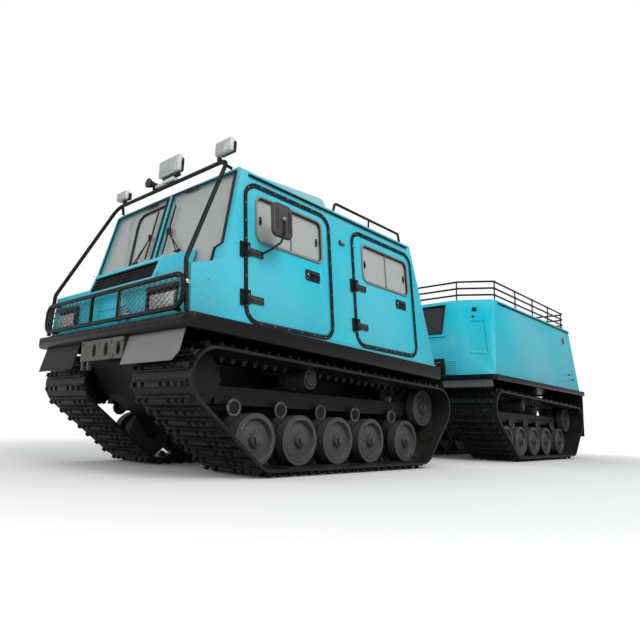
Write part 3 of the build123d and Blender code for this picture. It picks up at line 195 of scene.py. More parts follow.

# %% [markdown]
# ## Effects that several finishes share
# Paint, rubber and cast steel are never one flat colour. Three effects come back on most of them: a fine
# grain, dust that thickens towards the ground, and thin scuffs. A fourth bleaches old paint in patches, and
# paints light into it too: paler towards the roof's edge, a painted reflection of the white studio, and paler
# on flat tops, painted light from above. Each is a node group with named sockets, built once and placed in
# each material with its own values. A group gives only masks and heights: the shader stays in the material.

# %% Node groups
def new_group(name, output, vectors=("Position",), **numbers):
    """An empty node group: its inputs' sockets, and a function that joins a value to its one output."""
    group = bpy.data.node_groups.new(name, "ShaderNodeTree")
    for label in vectors:
        group.interface.new_socket(label, in_out="INPUT", socket_type="NodeSocketVector")
    for label, value in numbers.items():
        socket = group.interface.new_socket(label, in_out="INPUT", socket_type="NodeSocketFloat")
        socket.default_value = value
    group.interface.new_socket(output, in_out="OUTPUT", socket_type="NodeSocketFloat")
    given, result = group.nodes.new("NodeGroupInput"), group.nodes.new("NodeGroupOutput")
    sockets = list(given.outputs)[:len(vectors) + len(numbers)]
    return group, sockets, lambda value: group.links.new(value, result.inputs[output])


grain_group, (position, scale), put_out = new_group("surface grain", "Height", Scale=300.0)
put_out(noise(grain_group, position, scale, 3.0))

dust_group, (position, low, high, scale), put_out = new_group(
    "road dust", "Mask", Low=0.0, High=1.5, Scale=3.0)
height = add_node(dust_group, "SeparateXYZ", {0: position}).outputs["Z"]
fall = spread(dust_group, height, (high, low), smooth=True)
patch = spread(dust_group, noise(dust_group, position, scale, 6.0, 0.65), (0.35, 0.75))
put_out(maths(dust_group, "MULTIPLY", fall, patch))

scuff_group, (position, scale, level), put_out = new_group("scuffs", "Mask", Scale=14.0, Level=0.62)
stretch = add_node(scuff_group, "Mapping", {"Vector": position, "Scale": (1.0, 0.25, 2.2)}).outputs[0]
smear = noise(scuff_group, stretch, scale, 8.0, 0.7)
put_out(spread(scuff_group, smear, (level, maths(scuff_group, "ADD", level, 0.06))))

# Real bleached patches, plus painted light: a painted reflection high up and painted light on flat tops.
bleach_and_sheen_group, (position, normal), put_out = new_group("bleached patches and painted sheen", "Mask", ("Position", "Normal"))
patch = spread(bleach_and_sheen_group, noise(bleach_and_sheen_group, position, 0.75, 1.5), (0.42, 0.64), (0.0, 0.42))
height = add_node(bleach_and_sheen_group, "SeparateXYZ", {0: position}).outputs["Z"]
upward = add_node(bleach_and_sheen_group, "SeparateXYZ", {0: normal}).outputs["Z"]
# Paler towards the roof's edge is a painted reflection; paler on faces that look up is painted light.
painted_sheen_high_up = spread(bleach_and_sheen_group, height, (1.72, 2.02), (0.0, 0.45))
flat = spread(bleach_and_sheen_group, upward, (0.3, 0.95), (0.0, 0.7))
put_out(maths(bleach_and_sheen_group, "ADD", maths(bleach_and_sheen_group, "ADD", patch, painted_sheen_high_up), flat, clamp=True))
print("groups:", [group.name for group in bpy.data.node_groups])

# %% [markdown]
# ## Solid finishes
# Paint, rubber, plastic and cloth differ in colour, gloss, grain and dirt, not in how the tree is laid out,
# so one function builds them all. The dust colour is a pale brown, and scuffs show the colour under the
# surface.

# %% Finishes
DUST = (0.115, 0.105, 0.090)
# Pale colour of bleached patches, and of the painted reflection and painted light on the paint.
BLEACH_AND_SHEEN_TINT = (0.50, 0.64, 0.67)


def effect(tree, group, place, *numbers):
    """The output of a node group, with its position and numbers filled in."""
    made = add_node(tree, "Group", node_tree=group)
    for socket, value in zip(made.inputs, (place, *numbers)):
        if isinstance(value, bpy.types.NodeSocket):
            tree.links.new(value, socket)
        else:
            socket.default_value = value
    return made.outputs[0]


def finish(name, colour, roughness, grain=(300.0, 0.0004), dust=(0.0, 1.2, 0.3), scuff=(14.0, 0.66, 0.3),
           under=(0.3, 0.3, 0.3), metallic=0.0, coat=0.0, coat_roughness=0.05, sheen=0.0, drift=0.08,
           gloss=0.5, haze=0.0):
    """A solid finish with grain, drifting tone, dust near the ground and scuffs."""
    material, tree, out = blank_material(name)
    coordinates = add_node(tree, "TexCoord").outputs
    place = coordinates["Object"]
    value = spread(tree, noise(tree, place, 2.2, 3.0), target=(1 - drift, 1 + drift))
    base = add_node(tree, "HueSaturation", {"Color": (*colour, 1), "Value": value}).outputs[0]
    # Where haze is given: bleached patches, plus painted light high up and on flat tops.
    if haze:
        bleached = effect(tree, bleach_and_sheen_group, place, coordinates["Normal"])
        base = mixed(tree, maths(tree, "MULTIPLY", bleached, haze), base, (*BLEACH_AND_SHEEN_TINT, 1))
    scuffed = effect(tree, scuff_group, place, *scuff[:2])
    worn = mixed(tree, maths(tree, "MULTIPLY", scuffed, scuff[2]), base, (*under, 1))
    cover = maths(tree, "MULTIPLY", effect(tree, dust_group, place, *dust[:2], 3.0), dust[2])
    fine = effect(tree, grain_group, place, grain[0])
    bump = add_node(tree, "Bump", {"Height": fine, "Distance": grain[1], "Strength": 0.6})
    shader = add_node(tree, "BsdfPrincipled", {
        "Base Color": mixed(tree, cover, worn, (*DUST, 1)),
        "Roughness": spread(tree, cover, target=(roughness, 0.85)),
        "Normal": bump.outputs[0], "Metallic": metallic, "Specular IOR Level": gloss,
        "Coat Weight": coat, "Coat Roughness": coat_roughness, "Sheen Weight": sheen})
    tree.links.new(shader.outputs[0], out.inputs["Surface"])
    return material


BODY_BLUE = (0.004, 0.50, 0.64)
# Its haze is bleached patches plus painted light: paler high up and on flat tops.
paint = finish("cyan body paint", BODY_BLUE, 0.34, (180.0, 0.0002), (0.7, 1.3, 0.06), (22.0, 0.76, 0.12),
               (0.20, 0.5, 0.54), coat=0.15, coat_roughness=0.10, gloss=0.12, haze=0.35)
pod_paint = finish("bleached body paint", (0.28, 0.50, 0.53), 0.5, (180.0, 0.0002), (1.9, 2.2, 0.10),
                   (22.0, 0.72, 0.2), (0.5, 0.6, 0.6), gloss=0.25)
black = finish("black frame paint", (0.0055, 0.0055, 0.0060), 0.36, (260.0, 0.0003), (0.1, 1.3, 0.12),
               (16.0, 0.68, 0.3), (0.07, 0.07, 0.07), gloss=0.22)
plate_grey = finish("grey plate", (0.115, 0.113, 0.105), 0.42, (220.0, 0.0002), (0.3, 1.2, 0.35),
                    (12.0, 0.58, 0.4), (0.22, 0.22, 0.20), metallic=0.4)
pale_plate = finish("pale flap", (0.20, 0.20, 0.205), 0.34, (220.0, 0.0002), (0.3, 1.2, 0.25),
                    (12.0, 0.62, 0.2), (0.5, 0.5, 0.5))
cast = finish("cast hull steel", (0.0070, 0.0072, 0.0072), 0.5, (120.0, 0.0009), (0.1, 1.2, 0.16),
              (10.0, 0.6, 0.2), (0.05, 0.05, 0.05), gloss=0.22)
track_rubber = finish("track rubber", (0.0085, 0.0085, 0.0082), 0.42, (160.0, 0.0008), (0.0, 1.4, 0.22),
                      (18.0, 0.56, 0.3), (0.05, 0.049, 0.045), gloss=0.30)
shoe_tip = finish("worn shoe tips", (0.095, 0.092, 0.080), 0.40, (200.0, 0.0006), (0.0, 1.4, 0.35),
                  (26.0, 0.5, 0.6), (0.26, 0.25, 0.22), gloss=0.4)
wheel_paint = finish("wheel paint", (0.062, 0.065, 0.065), 0.45, (150.0, 0.0005), (0.0, 0.9, 0.45),
                     (14.0, 0.58, 0.35), (0.10, 0.10, 0.095), gloss=0.3)
seal_black = finish("seal rubber", (0.0065, 0.0065, 0.0070), 0.42, (400.0, 0.0003), (0.6, 1.4, 0.12),
                    (20.0, 0.62, 0.25), (0.06, 0.06, 0.06), gloss=0.3)
trim = finish("black plastic", (0.012, 0.0115, 0.0115), 0.35, (500.0, 0.0003), (0.6, 1.4, 0.10),
              (30.0, 0.66, 0.25), (0.06, 0.06, 0.06), gloss=0.35)
cloth = finish("seat cloth", (0.035, 0.038, 0.045), 0.85, (900.0, 0.0008), (0.9, 1.1, 0.1),
               (40.0, 0.66, 0.2), (0.08, 0.08, 0.09), sheen=0.4)
lamp_white = finish("lamp housing", (0.62, 0.63, 0.63), 0.3, (300.0, 0.0002), (0.9, 2.6, 0.12),
                    (20.0, 0.7, 0.2), (0.4, 0.4, 0.4), coat=0.3)
print("finishes:", len(bpy.data.materials))

# %% [markdown]
# ## Glass, chrome and lenses
# The windows are pale and milky in the studio light, so their glass is only partly clear, with a faint film
# that changes its roughness. The rear car's front window is smoked. Rods of the steering cylinders are hard
# chrome.

# %% Glass and chrome
def glass(name, colour, clear, film=(0.02, 0.10), streaks=5.0):
    """Sheet glass with a faint uneven film."""
    material, tree, out = blank_material(name)
    haze = noise(tree, add_node(tree, "TexCoord").outputs["Object"], streaks, 5.0)
    rough = spread(tree, haze, (0.3, 0.8), film)
    tone = spread(tree, haze, target=(0.94, 1.04))
    tint = add_node(tree, "HueSaturation", {"Color": (*colour, 1), "Value": tone}).outputs[0]
    shader = add_node(tree, "BsdfPrincipled", {
        "Base Color": tint, "Roughness": rough, "Transmission Weight": clear, "IOR": 1.45})
    tree.links.new(shader.outputs[0], out.inputs["Surface"])
    return material


pane_glass = glass("pale window glass", (0.60, 0.62, 0.60), 0.35)
smoked_glass = glass("smoked window glass", (0.06, 0.06, 0.065), 0.5)
lens_glass = glass("lamp lens", (0.85, 0.87, 0.87), 0.7, (0.03, 0.12), 30.0)
amber_lens = glass("amber lens", (0.75, 0.22, 0.02), 0.4, (0.1, 0.2), 60.0)
chrome = finish("hard chrome", (0.62, 0.62, 0.64), 0.12, (500.0, 0.0001), (0.3, 0.9, 0.1), (30.0, 0.7, 0.2),
                (0.4, 0.4, 0.4), metallic=1.0)
print("clear and bright finishes ready")

# %% [markdown]
# ## Softened copies of the steel pieces
# Folded sheet and welded plate never end in a knife edge: a small radius catches a line of light along every
# edge. The CAD solids are exact but sharp. A copy of a node's mesh is merged, its flat triangles are
# dissolved into whole faces, and a Bevel modifier rounds what is sharper than thirty degrees. The copy then
# replaces the node.

# %% Softened copies
BODY_OF = {node: body for body, members in frame["record"]["behaviour"]["bodies"].items() for node in members}
SLOT_OF = {entry["node"]: entry["material_slot"] for entry in frame["record"]["subparts"]}


def mesh_of(name, shape):
    """A bmesh as a mesh of that name."""
    data = bpy.data.meshes.new(name)
    shape.to_mesh(data)
    shape.free()
    return data


def link_piece(name, data, body, slot, *materials):
    """A finished mesh as a piece that rides on a body."""
    piece = bpy.data.objects.new(name, data)
    bpy.context.scene.collection.objects.link(piece)
    for material in materials:
        data.materials.append(material)
    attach(piece, body)
    return piece


def softened(node, name, material, width=0.003, segments=2):
    """A copy of a CAD node with rounded edges, in its place."""
    shell = bmesh.new()
    shell.from_mesh(cad[node].data)
    bmesh.ops.remove_doubles(shell, verts=shell.verts, dist=0.00002)
    bmesh.ops.dissolve_limit(shell, angle_limit=0.01, verts=shell.verts, edges=shell.edges)
    bmesh.ops.recalc_face_normals(shell, faces=shell.faces)
    data = mesh_of(name, shell)
    piece = link_piece(name, data, BODY_OF[node], SLOT_OF[node], material)
    rounding = piece.modifiers.new("rounded edges", "BEVEL")
    rounding.width, rounding.segments = width, segments
    rounding.limit_method, rounding.angle_limit = "ANGLE", 0.52
    rounding.harden_normals = True
    data.shade_smooth()
    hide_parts(node)
    print(name, "from", node, len(data.polygons), "faces")
    return piece


# %% [markdown]
# ## Small parts
# Bolts, brackets and lamps are built from a few simple solids: a rounded block, a turned rod, a ball and a
# bent pipe. Each is made at the origin in a mesh of its own, moved by one matrix, and joined to the piece
# that it belongs to. A mirrored matrix turns a mesh inside out, so its faces are turned back.

# %% Simple solids
def put(shape, small, place=Matrix(), material=0):
    """A small mesh, moved by a matrix and given a material index, joined to a larger one."""
    for face in small.faces:
        face.material_index = material
    bmesh.ops.transform(small, matrix=place, verts=small.verts)
    if place.determinant() < 0:
        bmesh.ops.reverse_faces(small, faces=small.faces)
    data = mesh_of("joined", small)
    shape.from_mesh(data)
    bpy.data.meshes.remove(data)


def round_edges(small, edges, offset, segments=2):
    """Rounds some edges, or cuts them off with one segment."""
    return bmesh.ops.bevel(small, geom=edges, offset=offset, segments=segments, profile=0.5, affect="EDGES",
                           material=-1)


def edges_along_z(small, high, wanted=True):
    """The edges that rise more than half of a height, or the others."""
    return [edge for edge in small.edges
            if (abs(edge.verts[0].co.z - edge.verts[1].co.z) > high / 2) == wanted]


def block(size, rounding=0.0, steps=2):
    """A block about the origin with rounded edges."""
    small = bmesh.new()
    bmesh.ops.create_cube(small, size=1.0)
    bmesh.ops.scale(small, verts=small.verts, vec=size)
    if rounding:
        round_edges(small, small.edges, rounding, steps)
    return small


def slab(size, corner, rounding=0.0):
    """A plate across Z with round corners and, if wanted, a rounded rim."""
    small = bmesh.new()
    bmesh.ops.create_cube(small, size=1.0)
    bmesh.ops.scale(small, verts=small.verts, vec=size)
    round_edges(small, edges_along_z(small, size[2]), corner, 6)
    if rounding:
        round_edges(small, edges_along_z(small, size[2], False), rounding)
    return small


def turned(radius, depth, end_radius=None, sides=24, rounding=0.0):
    """A rod along Z, or a cone, about the origin."""
    small = bmesh.new()
    end_radius = radius if end_radius is None else end_radius
    bmesh.ops.create_cone(small, cap_ends=True, segments=sides, radius1=radius, radius2=end_radius,
                          depth=depth)
    if rounding:
        round_edges(small, edges_along_z(small, depth, False), rounding)
    return small


def ball(radius, sides=16):
    """A ball about the origin."""
    small = bmesh.new()
    bmesh.ops.create_uvsphere(small, u_segments=sides, v_segments=sides // 2, radius=radius)
    return small


def pipe(points, radius, closed=False, sides=8):
    """A round pipe through the points, made from a curve."""
    curve = bpy.data.curves.new("pipe", "CURVE")
    curve.dimensions, curve.use_fill_caps = "3D", True
    curve.bevel_depth, curve.bevel_resolution = radius, sides // 4
    line = curve.splines.new("POLY")
    line.points.add(len(points) - 1)
    for place, point in zip(line.points, points):
        place.co = (*point, 1)
    line.use_cyclic_u = closed
    holder = bpy.data.objects.new("pipe", curve)
    small = bmesh.new()
    small.from_mesh(holder.to_mesh())
    holder.to_mesh_clear()
    bpy.data.objects.remove(holder)
    bpy.data.curves.remove(curve)
    return small


def at(x, y, z, turn_x=0.0, turn_y=0.0):
    """A matrix that turns a small part and moves it to its place."""
    turn = Matrix.Rotation(turn_y, 4, "Y") @ Matrix.Rotation(turn_x, 4, "X")
    return Matrix.Translation((x, y, z)) @ turn


def axes(across, upward, outward):
    """A matrix that turns X, Y and Z into three directions."""
    return Matrix((across, upward, outward)).transposed().to_4x4()


def circle(radius, steps):
    """Points round a circle across X, about the origin."""
    angles = [2 * pi * i / steps for i in range(steps)]
    return [Vector((0, radius * cos(angle), radius * sin(angle))) for angle in angles]


MIRROR = Matrix.Diagonal((-1, 1, 1, 1))
SIDES = ((1, Matrix()), (-1, MIRROR))
FORWARD = Matrix.Rotation(pi / 2, 4, "X")           # stands a plate up, to face ahead


def finished(name, shape, body, slot, *materials, flip=False):
    """A bmesh as a finished piece, or its mirror image on the other side."""
    if flip:
        bmesh.ops.transform(shape, matrix=MIRROR, verts=shape.verts)
        bmesh.ops.reverse_faces(shape, faces=shape.faces)
    data = bpy.data.meshes.new(name)
    shape.to_mesh(data)
    data.shade_smooth()
    data.set_sharp_from_angle(angle=0.7)
    if flip:
        bmesh.ops.transform(shape, matrix=MIRROR, verts=shape.verts)
        bmesh.ops.reverse_faces(shape, faces=shape.faces)
    return link_piece(name, data, body, slot, *materials)


def both_sides(name, shape, body, slot, *materials):
    """A bmesh as a piece on the left and its mirror image on the right."""
    finished(name + "left", shape, body, slot, *materials)
    made = finished(name + "right", shape, body, slot, *materials, flip=True)
    shape.free()
    return made


print("simple solids ready")

# %% Steel pieces with rounded edges
SOFTENED = [
    ("cab_shell", "cab_skin", paint, 0.008, 3), ("engine_cover", "engine_box", paint, 0.003, 2),
    ("roof_pod", "roof_housing", pod_paint, 0.012, 3), ("rear_body", "rear_skin", paint, 0.008, 3),
    ("front_chassis", "front_deck_and_hull", black, 0.005, 2),
    ("rear_chassis", "rear_deck_and_hull", black, 0.005, 2),
    ("tow_plate", "tow_plate_rounded", plate_grey, 0.003, 2),
    ("tail_door", "tail_door_panel", paint, 0.004, 2),
    ("pitch_frame", "pitch_fork", cast, 0.005, 2), ("roll_arm", "roll_knuckle", cast, 0.005, 2),
]
for side in ("left", "right"):
    for place in ("front", "rear"):
        SOFTENED.append((f"{place}_door_{side}", f"{place}_door_{side}_panel", paint, 0.006, 3))
HULL_TOP = 0.73
for node, name, material, width, segments in SOFTENED:
    piece = softened(node, name, material, width, segments)
    if node.endswith("_chassis"):       # the hull under the deck is cast steel
        piece.data.materials.append(cast)
        for face in piece.data.polygons:
            face.material_index = int(face.center.z < HULL_TOP)

# %% [markdown]
# ## Finishes on the CAD pieces that stay
# Tubes, axles, glass and seals already have their real shape, so they only get a material. The record's slot
# names say which finish each piece takes, and a few pieces are named one by one.

# %% Materials on the CAD pieces
FINISH_OF_SLOT = {
    "body_paint": paint, "black_steel": black, "grey_steel": plate_grey, "bare_steel": plate_grey,
    "rod_chrome": chrome,
    "cast_hull": cast, "track_rubber": track_rubber, "seal_rubber": seal_black, "wheel_paint": wheel_paint,
    "window_glass": pane_glass, "trim_plastic": trim, "lamp_lens": lamp_white, "seat_cloth": cloth,
}
for node, piece in cad.items():
    piece.data.materials.clear()
    piece.data.materials.append(FINISH_OF_SLOT[SLOT_OF[node]])
cad["rear_front_glass"].data.materials[0] = smoked_glass
cad["tail_door_glass"].data.materials[0] = smoked_glass


def split(node, first, second, test):
    """Two finishes on one CAD piece, the second where the test of a face's middle holds."""
    data = cad[node].data
    data.materials.clear()
    for material in (first, second):
        data.materials.append(material)
    for face in data.polygons:
        face.material_index = int(test(face.center))


# The left front flap is pale grey, the right one black.
split("front_flaps", pale_plate, black, lambda middle: middle.x < 0)
split("rear_flaps", pale_plate, track_rubber, lambda middle: middle.y > 1)
SPROCKET_Y, SPROCKET_RADIUS, CAR_STEP = -3.174, 0.166, 3.884
for node in cad:
    if SLOT_OF[node] == "wheel_paint":
        split(node, wheel_paint, cast, lambda middle: min(
            abs(middle.y - SPROCKET_Y), abs(middle.y - SPROCKET_Y - CAR_STEP)) < SPROCKET_RADIUS + 0.004)
print("dressed", len(cad), "CAD pieces")

# %% [markdown]
# ## The tracks
# Each belt is a band of rubber with steel-cored cross bars, cast in rows of blocks, and guide horns inside
# that run between the twin wheels. The band is one cross-section carried along four straight runs and spun
# round four wheels. An Array modifier along a curve would do too, but it bends the shoes; real shoes stay
# straight and the belt turns between them, so each row is one small mesh set down at its own place and slope.

# %% The path of a belt
TRACK_OUT, TRACK_WIDTH, BELT_THICK, RIB_HIGH, RIB_PITCH = 0.935, 0.620, 0.018, 0.035, 0.096
ROAD_RADIUS, IDLER_RADIUS = 0.174, 0.165
IDLER_Y, IDLER_Z = -0.660, 0.522
ROAD_Z = ROAD_RADIUS + BELT_THICK + RIB_HIGH
ROAD_FIRST, ROAD_STEPS = -2.696, (0.0, 0.416, 0.832, 1.248, 1.757)
WRAPPED = [(SPROCKET_Y, 0.585, SPROCKET_RADIUS), (ROAD_FIRST, ROAD_Z, ROAD_RADIUS),
           (ROAD_FIRST + ROAD_STEPS[-1], ROAD_Z, ROAD_RADIUS), (IDLER_Y, IDLER_Z, IDLER_RADIUS)]


def belt_runs(step):
    """The belt's outer face as arcs and straight runs, in order, with lengths."""
    circles = [(y + step, z, radius) for y, z, radius in WRAPPED]
    headings = []
    for here, there in zip(circles, circles[1:] + circles[:1]):
        dy, dz = there[0] - here[0], there[1] - here[1]
        headings.append(atan2(dz, dy) - acos((here[2] - there[2]) / hypot(dy, dz)))
    runs = []
    for index, (y, z, radius) in enumerate(circles):
        outer, after = radius + BELT_THICK, headings[index]
        turn = (after - headings[index - 1]) % (2 * pi)
        runs.append(("arc", (y, z, outer, headings[index - 1], turn), outer * turn))
        y2, z2, radius2 = circles[(index + 1) % len(circles)]
        start = Vector((y + outer * cos(after), z + outer * sin(after)))
        end = Vector((y2 + (radius2 + BELT_THICK) * cos(after), z2 + (radius2 + BELT_THICK) * sin(after)))
        runs.append(("run", (start, end, after), (end - start).length))
    return runs


def station(runs, along):
    """Place (y, z) on the belt's outer face at a distance along it, and its outward angle."""
    for kind, data, length in runs:
        if along > length:
            along -= length
            continue
        if kind == "arc":
            y, z, outer, start, turn = data
            angle = start + along / outer
            return y + outer * cos(angle), z + outer * sin(angle), angle
        start, end, angle = data
        place = start.lerp(end, along / length)
        return place.x, place.y, angle
    return station(runs, 0.0)


total = sum(run[2] for run in belt_runs(0.0))
SHOES = round(total / RIB_PITCH)
print("belt", round(total, 3), "m round its outer face,", SHOES, "shoes")

# %% The band
BAND_PROFILE = [(0.0, 0.0), (0.030, 0.0), (0.038, -0.003), (0.582, -0.003), (0.590, 0.0), (0.620, 0.0),
                (0.620, -BELT_THICK), (0.0, -BELT_THICK)]


def band(shape, runs, x_inner, flip):
    """The rubber band: its section stepped along straight runs and spun round the wheels."""
    start_y, start_z, angle = station(runs, 0.0)
    out_y, out_z = cos(angle), sin(angle)
    corners = [shape.verts.new((x_inner + flip * x, start_y + out_y * out, start_z + out_z * out))
               for x, out in BAND_PROFILE]
    ring = [shape.edges.new((corners[i], corners[(i + 1) % len(corners)])) for i in range(len(corners))]
    for kind, data, length in runs:
        if kind == "arc":
            y, z, outer, start, turn = data
            made = bmesh.ops.spin(shape, geom=ring, cent=(0, y, z), axis=(1, 0, 0), angle=turn,
                                  steps=max(4, round(turn / 0.12)))
            ring = [item for item in made["geom_last"] if isinstance(item, bmesh.types.BMEdge)]
        else:
            first, last, angle = data
            made = bmesh.ops.extrude_edge_only(shape, edges=ring)
            moved = [item for item in made["geom"] if isinstance(item, bmesh.types.BMVert)]
            bmesh.ops.translate(shape, verts=moved, vec=(0, last.x - first.x, last.y - first.y))
            ring = [item for item in made["geom"] if isinstance(item, bmesh.types.BMEdge) and
                    all(corner in moved for corner in item.verts)]
    bmesh.ops.remove_doubles(shape, verts=shape.verts, dist=0.0002)


print("band helper ready")

# %% [markdown]
# ### A row of blocks
# On the real belt a row is a low steel-cored bar with taller rubber blocks on it: a long one, short ones
# beside it and a knob near each edge. Every second row is set over a little, so the blocks bite between each
# other's tracks. A block starts as a cube, is narrowed at its tip, and gets one small bevel. Its worn tip
# takes its own finish.

# %% A row of blocks
ROW_WIDE = (0.012, 0.575)
ROWS = [
    [(0.020, 0.055), (0.095, 0.135), (0.165, 0.375), (0.400, 0.445), (0.475, 0.510), (0.535, 0.570)],
    [(0.035, 0.070), (0.110, 0.160), (0.190, 0.350), (0.375, 0.425), (0.455, 0.500), (0.525, 0.555)],
]
BAR_HIGH, BAR_LONG, BLOCK_LONG = 0.013, 0.052, 0.036


def shoe_block(shape, x0, x1, long, high, taper=0.8):
    """One rubber block on the belt, narrower at its tip, with a worn top."""
    made = bmesh.ops.create_cube(shape, size=1.0)["verts"]
    bmesh.ops.scale(shape, verts=made, vec=(x1 - x0, long, high))
    bmesh.ops.translate(shape, verts=made, vec=((x0 + x1) / 2, 0, high / 2))
    tip = [corner for corner in made if corner.co.z > high * 0.5]
    middle = Vector(((x0 + x1) / 2, 0, 0))
    bmesh.ops.scale(shape, verts=tip, vec=(1 - 0.008 / (x1 - x0), taper, 1.0),
                    space=Matrix.Translation(-middle))
    edges = list({edge for corner in tip for edge in corner.link_edges})
    bevelled = round_edges(shape, edges, 0.0025, 1)
    kept = {face for corner in made if corner.is_valid for face in corner.link_faces}
    for face in kept | set(bevelled["faces"]):
        face.normal_update()
        if face.normal.z > 0.9 and face.calc_center_median().z > high * 0.6:
            face.material_index = 1


def row_mesh(kind):
    """One row as a mesh with its bar and blocks, in a frame whose Z points out of the belt."""
    shape = bmesh.new()
    shoe_block(shape, *ROW_WIDE, BAR_LONG, BAR_HIGH, 0.85)
    for face in shape.faces:
        face.material_index = 0
    for x0, x1 in ROWS[kind]:
        shoe_block(shape, x0, x1, BLOCK_LONG, RIB_HIGH - 0.0005)
    return mesh_of("row_" + str(kind), shape)


rows = [row_mesh(kind) for kind in (0, 1)]
horn_shape = bmesh.new()
bmesh.ops.create_cone(horn_shape, segments=4, radius1=0.032, radius2=0.016, depth=0.034, cap_ends=True)
bmesh.ops.rotate(horn_shape, verts=horn_shape.verts, cent=(0, 0, 0), matrix=Matrix.Rotation(pi / 4, 3, "Z"))
bmesh.ops.rotate(horn_shape, verts=horn_shape.verts, cent=(0, 0, 0), matrix=Matrix.Rotation(pi, 3, "X"))
bmesh.ops.translate(horn_shape, verts=horn_shape.verts, vec=(TRACK_WIDTH / 2, 0, -BELT_THICK - 0.0168))
horn = mesh_of("guide_horn", horn_shape)
print("rows of", [len(row.polygons) for row in rows], "faces")

# %% The four belts
for car, body, step in (("front", "front_car", 0.0), ("rear", "rear_car", CAR_STEP)):
    runs = belt_runs(step)
    for side, flip in (("left", 1), ("right", -1)):
        shape = bmesh.new()
        band(shape, runs, flip * (TRACK_OUT - TRACK_WIDTH), flip)
        for shoe in range(SHOES):
            y, z, angle = station(runs, (shoe + 0.5) * total / SHOES)
            place = at(flip * (TRACK_OUT - TRACK_WIDTH), y, z,
                       angle - pi / 2) @ Matrix.Diagonal((flip, 1, 1, 1))
            for small in (rows[shoe % 2], horn):
                copy = small.copy()
                copy.transform(place)
                shape.from_mesh(copy)
                bpy.data.meshes.remove(copy)
        bmesh.ops.recalc_face_normals(shape, faces=shape.faces)
        data = mesh_of(f"{car}_belt_{side}", shape)
        belt = link_piece(data.name, data, body, "track_rubber", track_rubber, shoe_tip)
        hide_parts(f"{car}_track_{side}")
        print(belt.name, len(data.polygons), "faces")

# %% [markdown]
# ## The leaning sides
# Both bodies lean inwards, about one in ten. Everything on a side is easiest to place in that side's own
# directions: along the vehicle, up the lean, and out. One matrix holds the three, and a mirrored copy serves
# the other side.

# %% A place on the left side
SIDE_HALF, SIDE_Z, LEAN = 0.900, 0.930, 0.098


def on_side(y, z, out=0.0, turn=0.0):
    """A matrix at a place on the left side: local X runs rearwards, Y up the lean and Z outwards."""
    outward = Vector((1, 0, LEAN)).normalized()
    along, upward = Vector((0, 1, 0)), Vector((-LEAN, 0, 1)).normalized()
    start = Vector((SIDE_HALF - (z - SIDE_Z) * LEAN, y, z)) + outward * out
    return Matrix.Translation(start) @ axes(along, upward, outward) @ Matrix.Rotation(turn, 4, "Z")


def rounded_loop(wide, high, corner, steps=6):
    """Points round a rectangle with round corners, about the origin, in its own plane."""
    points = []
    for quarter, (x, y) in enumerate(((1, 1), (-1, 1), (-1, -1), (1, -1))):
        for step in range(steps + 1):
            angle = (quarter + step / steps) * pi / 2
            points.append(Vector((x * (wide / 2 - corner) + corner * cos(angle),
                                  y * (high / 2 - corner) + corner * sin(angle), 0)))
    return points


RISE = hypot(1, LEAN)
print("side leans", round(LEAN, 3), "per metre up")

# %% [markdown]
# ## Door fittings
# Each door hangs on two strap hinges and has a recessed handle, a grey window gasket, and two sliding panes
# with black latches. The front doors carry folding mirrors. Black bolts, bright rivets and a chromed lock
# button are small, but they are what makes a door look used.

# %% Door fittings
DOORS = {"front": ((-2.943, -2.151, 0.968, 1.878), (-2.867, -2.221, 1.508, 1.827)),
         "rear": ((-1.828, -1.016, 0.968, 1.862), (-1.720, -1.064, 1.486, 1.800))}
DOOR_CORNER, WINDOW_CORNER = 0.085, 0.055
HINGES, PIN_OUT, PIN_AHEAD = (1.100, 1.415), 0.020, 0.014
TRIM, GASKET, BRIGHT, WEATHERED, RUBBER = 0, 1, 2, 3, 4


def strap_hinge(shape, y, z):
    """The door's half of a hinge, with its ribs and bolts."""
    put(shape, block((0.124, 0.048 * RISE, 0.012), 0.003), on_side(y + 0.066, z, 0.0065), WEATHERED)
    put(shape, block((0.104, 0.012, 0.008), 0.003), on_side(y + 0.066, z, 0.0150), WEATHERED)
    put(shape, block((0.024, 0.048 * RISE, 0.010), 0.002), on_side(y - 0.002, z, 0.0085))
    put(shape, turned(0.0165, 0.047 * RISE, rounding=0.003), on_side(y - PIN_AHEAD, z, PIN_OUT) @ FORWARD)
    for along in (0.030, 0.072, 0.114):
        for up in (-0.016, 0.016):
            put(shape, turned(0.0055, 0.005, sides=6), on_side(y + along, z + up, 0.0145))


def handle(shape, y, z):
    """A handle's plate with its recess, pull and lock button."""
    put(shape, slab((0.152, 0.080, 0.007), 0.014, 0.002), on_side(y, z, 0.0040))
    put(shape, slab((0.092, 0.050, 0.003), 0.010), on_side(y + 0.018, z - 0.004, 0.0082), RUBBER)
    put(shape, block((0.084, 0.014, 0.012), 0.005, 3), on_side(y + 0.018, z + 0.010, 0.0155))
    put(shape, turned(0.0105, 0.008, 0.009, rounding=0.002), on_side(y - 0.052, z + 0.002, 0.0110), BRIGHT)
    put(shape, turned(0.004, 0.003, sides=10), on_side(y - 0.052, z + 0.002, 0.0160), RUBBER)
    for along in (-0.066, 0.066):
        put(shape, turned(0.0042, 0.003, sides=8), on_side(y + along, z - 0.030, 0.0088), BRIGHT)


